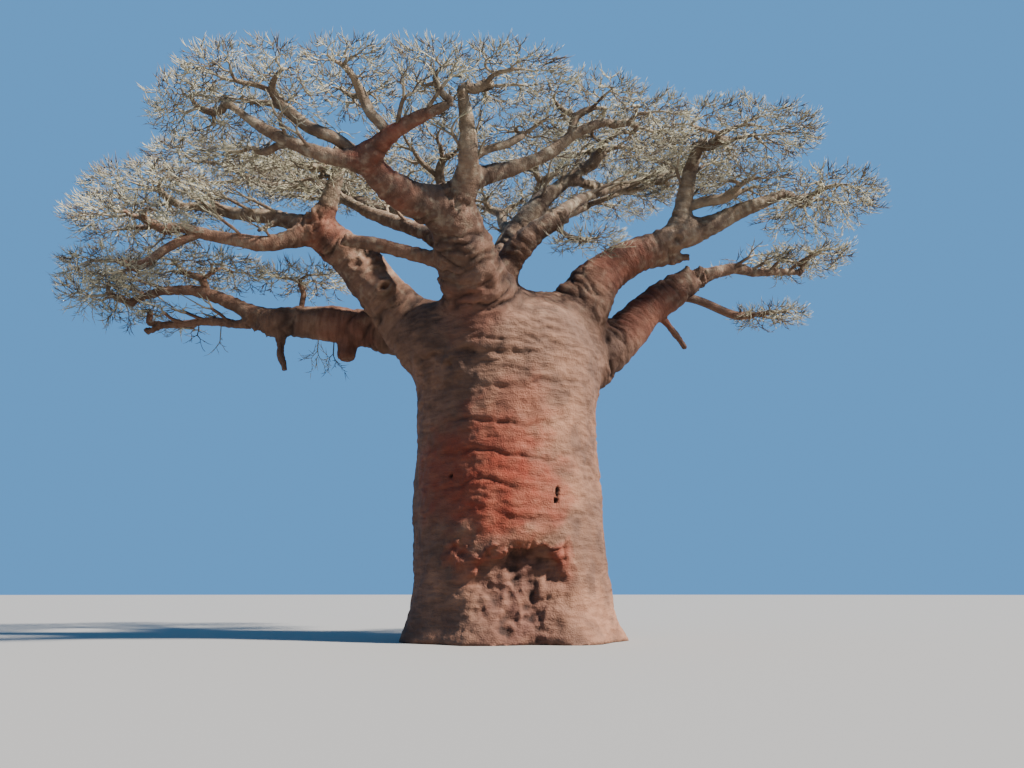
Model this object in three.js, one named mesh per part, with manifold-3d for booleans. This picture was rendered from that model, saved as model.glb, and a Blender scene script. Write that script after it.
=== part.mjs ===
// A giant baobab, bare in the dry season: a squat trunk, heavy spreading boughs and flat sprays of twigs.
// Millimetres, +Z up. The origin is the centre of the flat cut at ground level, +X is to the viewer's right
// and +Y leads away from the viewer. The tables below give metres and degrees.
import * as THREE from "three";
import { mergeVertices } from "three/addons/utils/BufferGeometryUtils.js";
import Module from "manifold-3d";

const wasm = await Module();
wasm.setup();
const { Manifold, Mesh } = wasm;

const METRE = 1000;
const GAP = 0.3; // clear distance between solids that meet
const TWIG_CLEARANCE = 5; // a twig that comes nearer than this to another solid is left out
const UP = new THREE.Vector3(0, 0, 1);

// The trunk, in metres.
const TRUNK_TOP = 11.3;
const WAIST_RADIUS = 2.9;
const LEAN = -0.15; // how far the trunk's middle moves in X over its lowest LEAN_HEIGHT
const LEAN_HEIGHT = 4;
const FOOT_FLARE = 0.62; // added radius at the ground
const FLARE_HEIGHT = 1.25; // height over which the flare dies away
const ROOT_LOBES = 7;
const ROOT_LOBE_DEPTH = 0.16;
const BELLY = { out: 0.1, height: 3.6, tall: 1.6 };
const NECK = { out: 0.12, from: 6.5, over: 3 }; // the slow widening towards the boughs
const SHOULDER_HEIGHT = 8.7; // where the trunk starts to round over
const SHOULDER_DROP = 2.65;
const SHOULDER_POWER = 2.4;
const TRUNK_SIDES = 26;
const TRUNK_RINGS = 14;

// Swellings under the boughs: the side they face and its spread in degrees, how far they stand out, at what
// height, and how tall they are.
const SWELLINGS = [
  { side: 180, spread: 34, out: 1.0, height: 9.9, tall: 1.0 },
  { side: 212, spread: 26, out: 0.45, height: 9.6, tall: 1.3 },
  { side: 252, spread: 24, out: 0.35, height: 9.6, tall: 1.1 },
  { side: 12, spread: 30, out: 0.25, height: 9.3, tall: 1.2 },
  { side: 95, spread: 40, out: 0.3, height: 9.6, tall: 1.2 },
];

// The worn hollow in the front of the foot, where the bark is torn away.
const WORN_SIDE = 275;
const WORN_SPREAD = 25;
const WORN_TOP = 2.9;
const WORN_EDGE = 0.5; // the height over which its upper edge runs out
const WORN_DEPTH = 0.5;

// Boughs and limbs, in metres and degrees. A bough starts at a foot inside the trunk, and a limb on another
// one, at a share of its length. Heading is the way it leaves, 0 to the right and 90 away from the viewer,
// and rise its angle above level. Turn and lift are how far these two have changed at its tip. Thick and tip
// are diameters.
const BOUGHS = [
  // name, foot, heading, rise, turn, lift, length, thick, tip
  ["bough_left_low", [-2.0, 0.3, 10.1], 178, 2, 0, 2, 6.6, 1.5, 1.05],
  ["bough_left", [-2.0, -0.3, 8.8], 199, 43, 0, 0, 6.3, 1.9, 1.2],
  ["bough_front", [-0.6, -1.6, 9.6], 246, 44, 0, 0, 4.3, 2.1, 1.4],
  ["bough_inner_right", [-1.3, -0.4, 10.3], 346, 70, 32, -30, 6.9, 1.35, 0.42],
  ["bough_right_inner", [-1.0, -0.9, 10.1], 324, 73, 24, -50, 4.3, 1.05, 0.72],
  ["bough_right", [1.2, -0.2, 9.4], 0, 59, -3, -38, 6.4, 1.9, 0.9],
  ["bough_right_low", [1.7, 0.6, 8.4], 7, 40, 0, 0, 6.2, 1.65, 1.05],
  ["bough_back_left", [-1.2, 1.3, 9.7], 112, 66, 0, 0, 6.4, 1.7, 0.6],
  ["bough_back", [-0.6, 1.5, 9.7], 100, 67, -46, -22, 8.5, 1.9, 0.42],
];
const LIMBS = [
  // name, what it stands on, share, heading, rise, turn, lift, length, thick, tip
  ["limb_left_low_upper", "bough_left_low", 0.95, 181, 34, -6, -44, 4.9, 0.62, 0.26],
  ["limb_left_low_lower", "bough_left_low", 0.97, 168, 2, -2, 2, 4.2, 0.36, 0.24],
  ["limb_left_mid", "bough_left", 0.97, 196, -30, 2, 50, 4.5, 0.66, 0.32],
  ["limb_left_upper", "bough_left", 0.97, 162, 20, 12, -10, 4.7, 0.66, 0.27],
  ["limb_left_rising", "bough_left", 0.99, 330, 58, -24, 8, 2.6, 0.7, 0.36],
  ["limb_left_behind", "bough_front", 0.6, 142, 38, 24, -20, 8.4, 0.62, 0.26],
  ["limb_left_broken", "bough_front", 0.56, 174, 13, -2, 0, 4.0, 0.48, 0.4],
  ["limb_front_left", "bough_front", 0.96, 202, -6, 30, 42, 3.1, 1.1, 0.74],
  ["limb_front_left_out", "limb_front_left", 0.97, 202, -8, -13, 52, 4.1, 0.55, 0.22],
  ["limb_front_red", "limb_front_left", 0.99, 325, 30, 17, -18, 3.0, 0.6, 0.24],
  ["limb_front_rising", "bough_front", 0.97, 314, 38, -76, 28, 3.6, 0.8, 0.3],
  ["limb_front_right", "limb_front_rising", 0.28, 27, 22, -45, 8, 4.7, 0.58, 0.24],
  ["limb_inner_right_out", "bough_inner_right", 0.9, 46, 2, -10, 28, 5.0, 0.38, 0.2],
  ["limb_right_inner_out", "bough_right_inner", 0.97, 62, 46, -28, -32, 6.6, 0.5, 0.2],
  ["limb_right_rising", "bough_right", 0.95, 315, 80, -25, -24, 3.2, 0.7, 0.36],
  ["limb_right_out", "bough_right", 0.98, 352, 16, 0, 8, 3.7, 0.75, 0.32],
  ["limb_right_low_out", "bough_right_low", 0.97, 14, 22, 6, -26, 4.8, 0.5, 0.2],
];

// Broken stubs, which are one with the limb that they stand on.
const STUBS = [
  // what it stands on, share, heading, rise, length, thick, tip
  ["bough_left_low", 0.91, 350, -80, 1.75, 0.36, 0.17],
  ["bough_left_low", 0.55, 270, -88, 1.15, 0.56, 0.5],
  ["limb_left_low_lower", 0.96, 190, -30, 0.6, 0.24, 0.2],
  ["limb_left_upper", 0.3, 200, -32, 0.95, 0.2, 0.15],
  ["bough_right", 0.62, 8, 8, 2.4, 0.5, 0.32],
  ["bough_right_low", 0.7, 20, -50, 1.9, 0.3, 0.16],
];

// Masses of twigs. One stem leaves a limb, at its tip where the share is 1, and forks over and over inside a
// lens-shaped space. Bare is how much of the way to the middle of that space the stem goes before it forks.
const MASSES = [
  // name, what it stands on, share, middle, half sizes, bare, thick, tips
  ["twigs_left_low", "limb_left_low_upper", 1, [-14.0, 0.8, 11.3], [1.5, 2.2, 1.1], 0.3, 0.26, 11],
  ["twigs_left_low_top", "limb_left_low_upper", 0.4, [-11.0, 0.5, 12.2], [2.5, 1.9, 0.7], 0.5, 0.28, 11],
  ["twigs_left_sprig", "bough_left_low", 0.79, [-7.2, 0.3, 11.8], [1.6, 1.4, 0.6], 0.6, 0.2, 8],
  ["twigs_left_low_end", "limb_left_low_lower", 1, [-13.3, 1.4, 11.1], [0.9, 0.9, 0.5], 0.4, 0.22, 6],
  ["twigs_left_mid", "limb_left_mid", 1, [-11.7, -3.0, 12.4], [2.0, 2.0, 0.75], 0.25, 0.32, 11],
  ["twigs_left_mid_low", "limb_left_mid", 0.84, [-12.1, -3.3, 10.8], [1.5, 1.6, 0.6], 0.6, 0.28, 9],
  ["twigs_left_upper", "limb_left_upper", 1, [-12.0, -1.0, 14.3], [2.2, 2.3, 0.8], 0.25, 0.27, 12],
  ["twigs_left_rising", "limb_left_rising", 1, [-6.6, -2.6, 14.3], [2.6, 1.7, 0.45], 0.3, 0.34, 9],
  ["twigs_left_behind", "limb_left_behind", 1, [-10.6, 0.6, 16.0], [2.4, 2.5, 0.8], 0.2, 0.26, 12],
  ["twigs_front_left_low", "limb_front_left_out", 1, [-8.4, -6.5, 14.2], [1.5, 2.0, 0.7], 0.25, 0.22, 10],
  ["twigs_front_left_under", "limb_front_left_out", 0.5, [-7.7, -5.4, 13.8], [1.8, 1.6, 0.4], 0.5, 0.22, 8],
  ["twigs_front_left_top", "limb_front_left", 1, [-7.0, -6.7, 15.1], [2.2, 1.9, 0.7], 0.55, 0.34, 12],
  ["twigs_front_top", "limb_front_red", 0.34, [-4.4, -6.8, 15.15], [1.8, 1.9, 0.6], 0.5, 0.3, 10],
  ["twigs_front_crown_left", "limb_front_red", 1, [-2.2, -7.1, 15.15], [1.5, 1.6, 0.5], 0.35, 0.2, 8],
  ["twigs_front_crown", "limb_front_rising", 1, [-0.2, -6.2, 15.4], [1.9, 1.9, 0.6], 0.3, 0.28, 11],
  ["twigs_front_inner", "limb_front_rising", 0.42, [0.6, -4.9, 14.9], [1.5, 1.3, 0.45], 0.6, 0.24, 7],
  ["twigs_front_right_top", "limb_front_right", 0.72, [2.1, -4.6, 15.6], [1.9, 1.7, 0.6], 0.35, 0.26, 11],
  ["twigs_front_right", "limb_front_right", 1, [3.8, -4.4, 15.1], [1.6, 1.8, 0.5], 0.25, 0.24, 9],
  ["twigs_inner_right", "bough_inner_right", 1, [3.4, -0.4, 16.6], [2.3, 2.1, 0.6], 0.35, 0.42, 11],
  ["twigs_inner_right_out", "limb_inner_right_out", 1, [6.4, 2.8, 17.4], [2.3, 2.2, 0.6], 0.2, 0.2, 11],
  ["twigs_right_inner", "limb_right_inner_out", 1, [6.0, 1.7, 16.1], [1.6, 1.5, 0.4], 0.2, 0.2, 7],
  ["twigs_hanging", "bough_right_inner", 0.9, [2.4, -2.4, 12.2], [1.2, 0.9, 0.4], 0.5, 0.18, 7],
  ["twigs_right_top", "limb_right_rising", 1, [7.1, -1.8, 15.95], [3.0, 2.5, 0.75], 0.3, 0.36, 14],
  ["twigs_right_mid", "limb_right_rising", 0.3, [8.0, -1.2, 14.6], [1.7, 1.6, 0.4], 0.6, 0.36, 8],
  ["twigs_right_out", "limb_right_out", 1, [10.25, -1.0, 13.95], [2.0, 2.3, 1.0], 0.25, 0.32, 13],
  ["twigs_right_low", "limb_right_low_out", 1, [10.9, 2.5, 13.4], [1.6, 1.7, 0.5], 0.2, 0.2, 8],
  ["twigs_right_low_down", "bough_right_low", 0.8, [9.1, 1.5, 10.9], [1.3, 1.2, 0.45], 0.66, 0.3, 7],
  ["twigs_centre", "bough_back_left", 1, [-3.0, 0.6, 17.1], [2.1, 2.2, 0.6], 0.3, 0.4, 10],
  ["twigs_back_left_out", "bough_back_left", 0.94, [-7.4, 3.6, 16.9], [2.6, 2.5, 0.6], 0.6, 0.5, 12],
  ["twigs_back_left", "bough_back_left", 0.7, [-4.4, 5.2, 17.6], [2.5, 2.5, 0.6], 0.55, 0.44, 12],
  ["twigs_back", "bough_back", 0.75, [-0.6, 7.4, 17.9], [2.5, 2.4, 0.6], 0.5, 0.44, 12],
  ["twigs_back_inner", "bough_back", 1, [1.6, 3.8, 18.0], [2.4, 2.2, 0.6], 0.3, 0.4, 11],
  ["twigs_back_right", "bough_back", 0.88, [4.2, 6.6, 17.8], [2.6, 2.5, 0.6], 0.5, 0.4, 12],
];

const LIMB_STEP = 0.95; // metres between a limb's rings
const KINK = 6; // degrees by which a limb wanders
const ROOT_SWELL = 0.34; // extra share of its radius where a limb leaves its parent
const BURIED = 1.3; // how far a bough runs inside the trunk before that swelling dies away
const TWIG_SIDES = 3;
const STEM_SIDES = 4;
const STEM_STEP = 0.9; // metres between a stem's rings
const REACH_SHARE = 0.42; // how much of the way to its tips' middle a twig goes before it forks
const THINNING = 0.5; // the power by which twigs thin as they divide
const SAG = 0.12; // how far a last twig dips before its tip turns up, as a share of its length
const LOW_TIPS = 0.18; // share of the tips that hang under the others
const SPACE_EDGE = 0.4; // metres by which a mass's space runs past its tips

const BARK = new THREE.MeshStandardMaterial({ color: 0x8d7060, roughness: 0.85, metalness: 0 });
const TWIG_BARK = new THREE.MeshStandardMaterial({ color: 0x9a9482, roughness: 0.9, metalness: 0 });

// Repeatable numbers from 0 to 1.
function seeded(seed) {
  let state = seed;
  return () => {
    state = (state + 0x6d2b79f5) | 0;
    let mixed = Math.imul(state ^ (state >>> 15), 1 | state);
    mixed = (mixed + Math.imul(mixed ^ (mixed >>> 7), 61 | mixed)) ^ mixed;
    return ((mixed ^ (mixed >>> 14)) >>> 0) / 4294967296;
  };
}

function direction(heading, rise) {
  const h = THREE.MathUtils.degToRad(heading);
  const r = THREE.MathUtils.degToRad(rise);
  return new THREE.Vector3(Math.cos(h) * Math.cos(r), Math.sin(h) * Math.cos(r), Math.sin(r));
}

// A closed solid from a three.js geometry whose seams still have double vertices.
function solidOf(geometry) {
  const bare = geometry.clone();
  bare.deleteAttribute("normal");
  bare.deleteAttribute("uv");
  const merged = mergeVertices(bare, 1e-3);
  const triVerts = new Uint32Array(merged.index.array);
  return new Manifold(new Mesh({ numProp: 3, vertProperties: merged.attributes.position.array, triVerts }));
}

// The centreline of a limb, as points in millimetres.
function centreline(start, limb, seed) {
  const steps = Math.max(3, Math.round(limb.length / LIMB_STEP));
  const random = seeded(seed);
  const wave = (s, turns, phase) => Math.sin(2 * Math.PI * (turns * s + phase));
  const [a, b, c, d] = [random(), random(), random(), random()];
  const points = [start.clone()];
  for (let i = 0; i < steps; i++) {
    const s = (i + 0.5) / steps;
    const kink = Math.min(1, 3 * s) * KINK;
    const heading = limb.heading + (limb.turn ?? 0) * s + kink * (wave(s, 1.1, a) + 0.6 * wave(s, 2.3, b));
    const rise = limb.rise + (limb.lift ?? 0) * s + kink * (wave(s, 1.3, c) + 0.6 * wave(s, 2.1, d));
    points.push(points[i].clone().addScaledVector(direction(heading, rise), (limb.length * METRE) / steps));
  }
  return points;
}

// A cylinder bent along points, with radiusAt(share) for its radius. A radius of 0 at the end makes a point.
function tubeAlong(points, radiusAt, sides) {
  const steps = points.length - 1;
  const pointed = radiusAt(1) === 0;
  const tube = new THREE.CylinderGeometry(pointed ? 0 : 1, 1, 1, sides, steps);
  const frames = [];
  let side = new THREE.Vector3();
  for (let i = 0; i <= steps; i++) {
    const along = points[Math.min(i + 1, steps)].clone().sub(points[Math.max(i - 1, 0)]).normalize();
    if (i === 0) side.crossVectors(along, Math.abs(along.z) < 0.9 ? UP : new THREE.Vector3(1, 0, 0));
    side.addScaledVector(along, -side.dot(along)).normalize();
    frames.push({ side: side.clone(), other: side.clone().cross(along) });
  }
  const place = tube.attributes.position;
  for (let k = 0; k < place.count; k++) {
    const ring = Math.round((place.getY(k) + 0.5) * steps);
    const spoke = new THREE.Vector2(place.getX(k), place.getZ(k));
    const radius = spoke.length() > 1e-6 ? radiusAt(ring / steps) / spoke.length() : 0;
    const spot = points[ring].clone();
    spot.addScaledVector(frames[ring].side, spoke.x * radius);
    spot.addScaledVector(frames[ring].other, spoke.y * radius);
    place.setXYZ(k, spot.x, spot.y, spot.z);
  }
  return solidOf(tube);
}

// The point at a share of a centreline's length.
function pointAt(points, share) {
  const f = share * (points.length - 1);
  const i = Math.min(Math.floor(f), points.length - 2);
  return points[i].clone().lerp(points[i + 1], f - i);
}

// How far apart two directions are, in degrees.
function apart(a, b) {
  return Math.abs(THREE.MathUtils.euclideanModulo(a - b + 180, 360) - 180);
}

const bump = (x) => Math.exp(-x * x);

// The trunk's radius in metres at a height and a side.
function trunkRadius(height, side) {
  const flare = Math.exp(-height / FLARE_HEIGHT);
  const lobe = ROOT_LOBE_DEPTH * Math.cos(THREE.MathUtils.degToRad(side * ROOT_LOBES));
  let radius = WAIST_RADIUS + flare * (FOOT_FLARE + lobe);
  radius += BELLY.out * bump((height - BELLY.height) / BELLY.tall);
  radius += NECK.out * Math.max(0, (height - NECK.from) / NECK.over);
  for (const s of SWELLINGS) {
    radius += s.out * bump(apart(side, s.side) / s.spread) * bump((height - s.height) / s.tall);
  }
  const over = Math.max(0, (height - SHOULDER_HEIGHT) / SHOULDER_DROP);
  radius *= Math.sqrt(1 - over ** SHOULDER_POWER);
  const worn = bump((apart(side, WORN_SIDE) / WORN_SPREAD) ** 2);
  return radius - WORN_DEPTH * worn * THREE.MathUtils.clamp((WORN_TOP - height) / WORN_EDGE, 0, 1);
}

function makeTrunk(grown) {
  const body = new THREE.CylinderGeometry(1, 1, 1, TRUNK_SIDES, TRUNK_RINGS);
  const place = body.attributes.position;
  for (let k = 0; k < place.count; k++) {
    const height = (place.getY(k) + 0.5) * TRUNK_TOP;
    const spoke = new THREE.Vector2(place.getZ(k), place.getX(k));
    const onRing = spoke.length() > 0.5;
    const side = THREE.MathUtils.radToDeg(spoke.angle());
    spoke.normalize().multiplyScalar(onRing ? trunkRadius(height, side) * METRE + grown : 0);
    const middle = LEAN * METRE * Math.min(1, height / LEAN_HEIGHT);
    place.setXYZ(k, middle + spoke.x, spoke.y, height * METRE + (height > TRUNK_TOP / 2 ? grown : 0));
  }
  return solidOf(body);
}

function largestPiece(solid) {
  const pieces = solid.decompose();
  return pieces.sort((a, b) => b.volume() - a.volume())[0];
}

const boxesMeet = (a, b, margin) =>
  [0, 1, 2].every((i) => a.min[i] - margin < b.max[i] && b.min[i] - margin < a.max[i]);

// Every finished limb: its centreline, its radius and its solid, plain and grown by the gap.
const made = new Map();

// A limb's radius in millimetres: a taper, with a swelling where it leaves what carries it.
function limbRadius(limb, buried) {
  return (share) => {
    const taper = (THREE.MathUtils.lerp(limb.thick, limb.tip, share) / 2) * METRE;
    const beyond = Math.max(0, share * limb.length - buried);
    return taper * (1 + ROOT_SWELL * Math.exp(-beyond / (0.6 * limb.thick)));
  };
}

// More sides on a thicker limb.
const sidesOf = (limb) => Math.round(5 + 2 * limb.thick);

// The unit step from one point to another.
const wayTo = (from, to) => to.clone().sub(from).normalize();

// One limb or stub as a solid, made larger all round by the gap if it is to be cut from its neighbours.
function limbSolid({ points, radiusAt, sides }, grown) {
  if (!grown) return tubeAlong(points, radiusAt, sides);
  const longer = points.map((point) => point.clone());
  longer[0].addScaledVector(wayTo(points[1], points[0]), GAP);
  longer[points.length - 1].addScaledVector(wayTo(points[points.length - 2], points[points.length - 1]), GAP);
  return tubeAlong(longer, (share) => radiusAt(share) + GAP, sides);
}

function growLimb(limb, seed) {
  const parent = limb.on && made.get(limb.on);
  const foot = () => new THREE.Vector3(...limb.foot).multiplyScalar(METRE);
  const start = parent ? pointAt(parent.points, limb.share) : foot();
  const points = centreline(start, limb, seed);
  const radiusAt = limbRadius(limb, parent ? parent.radiusAt(limb.share) / METRE : BURIED);
  const bodies = [{ points, radiusAt, sides: sidesOf(limb) }];
  for (const stub of STUBS.map(stubRow).filter((row) => row.on === limb.name)) {
    const stubPoints = centreline(pointAt(points, stub.share), stub, seed + 100);
    const stubRadius = limbRadius(stub, radiusAt(stub.share) / METRE);
    bodies.push({ points: stubPoints, radiusAt: stubRadius, sides: sidesOf(stub) });
  }
  const join = (grown) => Manifold.union(bodies.map((body) => limbSolid(body, grown)));
  let solid = join(false);
  for (const other of made.values()) {
    if (boxesMeet(solid.boundingBox(), other.grown.boundingBox(), 1)) solid = solid.subtract(other.grown);
  }
  const way = wayTo(points[points.length - 2], points[points.length - 1]);
  made.set(limb.name, { points, radiusAt, way, solid: largestPiece(solid), grown: join(true) });
}

const columns = (...names) => (row) => Object.fromEntries(names.map((name, i) => [name, row[i]]));
const stubRow = columns("on", "share", "heading", "rise", "length", "thick", "tip");
const boughRow = columns("name", "foot", "heading", "rise", "turn", "lift", "length", "thick", "tip");
const limbRow = columns("name", "on", "share", "heading", "rise", "turn", "lift", "length", "thick", "tip");
const massRow = columns("name", "on", "share", "middle", "half", "bare", "thick", "tips");

made.set("trunk", { solid: makeTrunk(0), grown: makeTrunk(GAP) });
BOUGHS.map(boughRow).forEach((bough, i) => growLimb(bough, 11 + i));
LIMBS.map(limbRow).forEach((limb, i) => growLimb(limb, 41 + i));
const masses = MASSES.map(massRow);

// How far a point lies from the middle of a mass's space, where 1 is its edge.
function depthInto(mass, point) {
  const offsets = point.toArray().map((v, i) => v / METRE - mass.middle[i]);
  return Math.hypot(...offsets.map((offset, i) => offset / (mass.half[i] + SPACE_EDGE)));
}

function isOwnSpace(mass, point) {
  return masses.every((other) => other === mass || depthInto(other, point) > depthInto(mass, point));
}

// Where the twigs of a mass end: points spread evenly over a dome, less those in another mass's space.
function tipPoints(mass, count, random) {
  const golden = Math.PI * (3 - Math.sqrt(5));
  const [x, y, z] = mass.half;
  const tips = [];
  for (let i = 0; i < count; i++) {
    const out = Math.sqrt((i + 0.5) / count);
    const round = i * golden + (random() - 0.5) * 0.5;
    const high = Math.sqrt(1 - out * out) * (0.7 + 0.3 * random());
    const level = random() < LOW_TIPS ? -0.5 * high : high;
    const offset = new THREE.Vector3(out * Math.cos(round) * x, out * Math.sin(round) * y, level * z);
    const tip = offset.add(new THREE.Vector3(...mass.middle)).multiplyScalar(METRE);
    if (isOwnSpace(mass, tip)) tips.push(tip);
  }
  return tips;
}

function average(points) {
  const sum = points.reduce((total, point) => total.add(point), new THREE.Vector3());
  return sum.divideScalar(points.length);
}

// Splits tips in two across the way that they spread most, as seen from where the twig stands.
function splitTips(from, tips) {
  const middle = average(tips);
  const view = middle.clone().sub(from).normalize();
  const across = new THREE.Vector3().crossVectors(view, UP).normalize();
  const over = new THREE.Vector3().crossVectors(across, view);
  const spread = (axis) => tips.reduce((sum, p) => sum + p.clone().sub(middle).dot(axis) ** 2, 0);
  const axis = spread(across) > spread(over) ? across : over;
  const sorted = [...tips].sort((a, b) => a.dot(axis) - b.dot(axis));
  const half = Math.ceil(sorted.length / 2);
  return [sorted.slice(0, half), sorted.slice(half)];
}

// Twigs from one point to all its tips. Each path runs on through its fuller fork, and the other starts on
// it.
function branchOut(from, tips, path, paths) {
  const middle = average(tips);
  if (tips.length === 1) {
    const dip = from.clone().lerp(middle, 0.55);
    dip.z -= SAG * middle.distanceTo(from);
    path.points.push(dip, middle);
    path.counts.push(1, 1);
    paths.push(path);
    return;
  }
  const fork = from.clone().lerp(middle, REACH_SHARE);
  path.points.push(fork);
  path.counts.push(tips.length);
  const [more, less] = splitTips(fork, tips);
  branchOut(fork, more, path, paths);
  branchOut(fork, less, { points: [fork.clone()], counts: [less.length], parent: path }, paths);
}

// The stem of a mass, from its limb towards the underside of its space.
function stemPoints(mass, carrier) {
  const atTip = mass.share === 1;
  const start = pointAt(carrier.points, mass.share);
  if (atTip) start.addScaledVector(carrier.way, GAP);
  const under = new THREE.Vector3(...mass.middle).multiplyScalar(METRE);
  under.z -= 0.5 * mass.half[2] * METRE;
  const goal = start.clone().lerp(under, mass.bare);
  const length = start.distanceTo(goal);
  const bend = start.clone().lerp(goal, 0.5);
  bend.addScaledVector(atTip ? carrier.way : UP, (atTip ? 0.3 : 0.14) * length);
  const curve = new THREE.QuadraticBezierCurve3(start, bend, goal);
  return curve.getPoints(Math.max(2, Math.round(length / METRE / STEM_STEP)));
}

function growMass(mass, seed) {
  const tips = tipPoints(mass, mass.tips, seeded(seed));
  const points = stemPoints(mass, made.get(mass.on));
  const stem = { points, counts: points.map(() => tips.length), isStem: true };
  const paths = [];
  branchOut(points[points.length - 1], tips, stem, paths);
  const fullness = (path) => (path.isStem ? Infinity : path.counts[0]);
  paths.sort((a, b) => fullness(b) - fullness(a));
  const thinnest = ((mass.thick / 2) * METRE) / tips.length ** THINNING;
  const kept = new Map();
  let cutters = [];
  for (const path of paths) {
    if (path.parent && !kept.has(path.parent)) continue;
    const countAt = (share) => path.counts[Math.round(share * (path.points.length - 1))];
    path.radiusAt = (share) => (share === 1 ? 0 : thinnest * countAt(share) ** THINNING);
    path.sides = path.isStem ? STEM_SIDES : TWIG_SIDES;
    const tube = limbSolid(path, false);
    const box = tube.boundingBox();
    const near = [...made.values()].filter((o) => boxesMeet(box, o.solid.boundingBox(), TWIG_CLEARANCE));
    if (path.isStem) cutters = near.map((o) => o.grown);
    else if (near.some((o) => tube.minGap(o.solid, TWIG_CLEARANCE) < TWIG_CLEARANCE)) continue;
    kept.set(path, tube);
  }
  const twigs = Manifold.union([...kept.values()]);
  const solid = largestPiece(cutters.reduce((left, cutter) => left.subtract(cutter), twigs));
  const grown = Manifold.union([...kept.keys()].map((path) => limbSolid(path, true)));
  made.set(mass.name, { solid, grown });
}
masses.forEach((mass, i) => growMass(mass, 201 + i));

// A mesh with its faces flat shaded, from a closed solid.
function meshOf(solid, name, material) {
  const { vertProperties, triVerts } = solid.getMesh();
  const geometry = new THREE.BufferGeometry();
  geometry.setAttribute("position", new THREE.BufferAttribute(new Float32Array(vertProperties), 3));
  geometry.setIndex(new THREE.BufferAttribute(new Uint32Array(triVerts), 1));
  geometry.computeVertexNormals();
  const mesh = new THREE.Mesh(geometry, material);
  mesh.name = name;
  return mesh;
}

const baobab = new THREE.Group();
for (const [name, { solid }] of made) {
  baobab.add(meshOf(solid, name, name.startsWith("twigs") ? TWIG_BARK : BARK));
}

export default baobab;
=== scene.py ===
import math
from collections import namedtuple

import bmesh
import bpy
import numpy as np
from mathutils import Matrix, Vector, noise


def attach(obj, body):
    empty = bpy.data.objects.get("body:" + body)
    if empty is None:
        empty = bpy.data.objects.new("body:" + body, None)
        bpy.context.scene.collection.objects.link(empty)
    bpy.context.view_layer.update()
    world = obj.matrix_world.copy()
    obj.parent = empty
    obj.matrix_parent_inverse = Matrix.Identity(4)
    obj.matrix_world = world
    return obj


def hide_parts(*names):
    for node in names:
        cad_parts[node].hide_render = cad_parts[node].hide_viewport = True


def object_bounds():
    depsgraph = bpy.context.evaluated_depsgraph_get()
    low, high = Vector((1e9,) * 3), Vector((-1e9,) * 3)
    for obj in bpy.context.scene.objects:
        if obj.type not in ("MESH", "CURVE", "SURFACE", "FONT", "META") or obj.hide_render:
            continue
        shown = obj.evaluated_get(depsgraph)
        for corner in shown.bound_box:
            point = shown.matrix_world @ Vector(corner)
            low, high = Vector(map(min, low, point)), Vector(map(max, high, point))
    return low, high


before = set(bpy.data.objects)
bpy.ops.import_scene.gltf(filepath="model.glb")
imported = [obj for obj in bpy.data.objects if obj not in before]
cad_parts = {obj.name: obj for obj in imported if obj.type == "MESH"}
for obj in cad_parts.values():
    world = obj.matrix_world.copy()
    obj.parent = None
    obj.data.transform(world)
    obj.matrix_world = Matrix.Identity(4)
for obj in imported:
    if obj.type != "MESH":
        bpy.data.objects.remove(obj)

cad_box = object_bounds()

# The camera, at standing eye height.
CAMERA_PLACE = (0.0, -29.4, 1.45)
CAMERA_PITCH = 12.9
LENS = 32

# The trunk.
TRUNK_TOP = 11.3
WAIST_RADIUS = 2.9
LEAN = -0.15
LEAN_HEIGHT = 4
FOOT_FLARE = 0.62
FLARE_HEIGHT = 1.25
ROOT_LOBES = 7
ROOT_LOBE_DEPTH = 0.16
BELLY_OUT, BELLY_HEIGHT, BELLY_TALL = 0.1, 3.6, 1.6
NECK_OUT, NECK_FROM, NECK_OVER = 0.12, 6.5, 3
SHOULDER_HEIGHT = 8.7
SHOULDER_DROP = 2.65
SHOULDER_POWER = 2.4

# Swellings under the boughs: side and spread in degrees, how far they stand out, at what height, how tall.
SWELLINGS = [
    (180, 34, 1.0, 9.9, 1.0),
    (212, 26, 0.45, 9.6, 1.3),
    (252, 24, 0.35, 9.6, 1.1),
    (12, 30, 0.25, 9.3, 1.2),
    (95, 40, 0.3, 9.6, 1.2),
]

# The worn hollow in the front of the foot.
WORN_SIDE = 275
WORN_SPREAD = 25
WORN_TOP = 2.9
WORN_EDGE = 0.5
WORN_DEPTH = 0.5
WORN_RAGGED = 0.45  # how far its torn edge strays up and down
WORN_STRAY = 26  # how far it strays to the sides, in degrees for each metre of that
WORN_BAYS = 0.9  # the size of the bays in that edge
WORN_NOISE = (0.8, 2.0, 4)  # how fast their finer noise fades, how much finer each octave is, how many
WORN_ROUND = 3  # metres from the trunk's middle at which that noise is read
WORN_SHARP = 1.5  # the power that makes its sides steep
WORN_STEEP = 3  # how many times steeper its upper edge is than WORN_EDGE says

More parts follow.
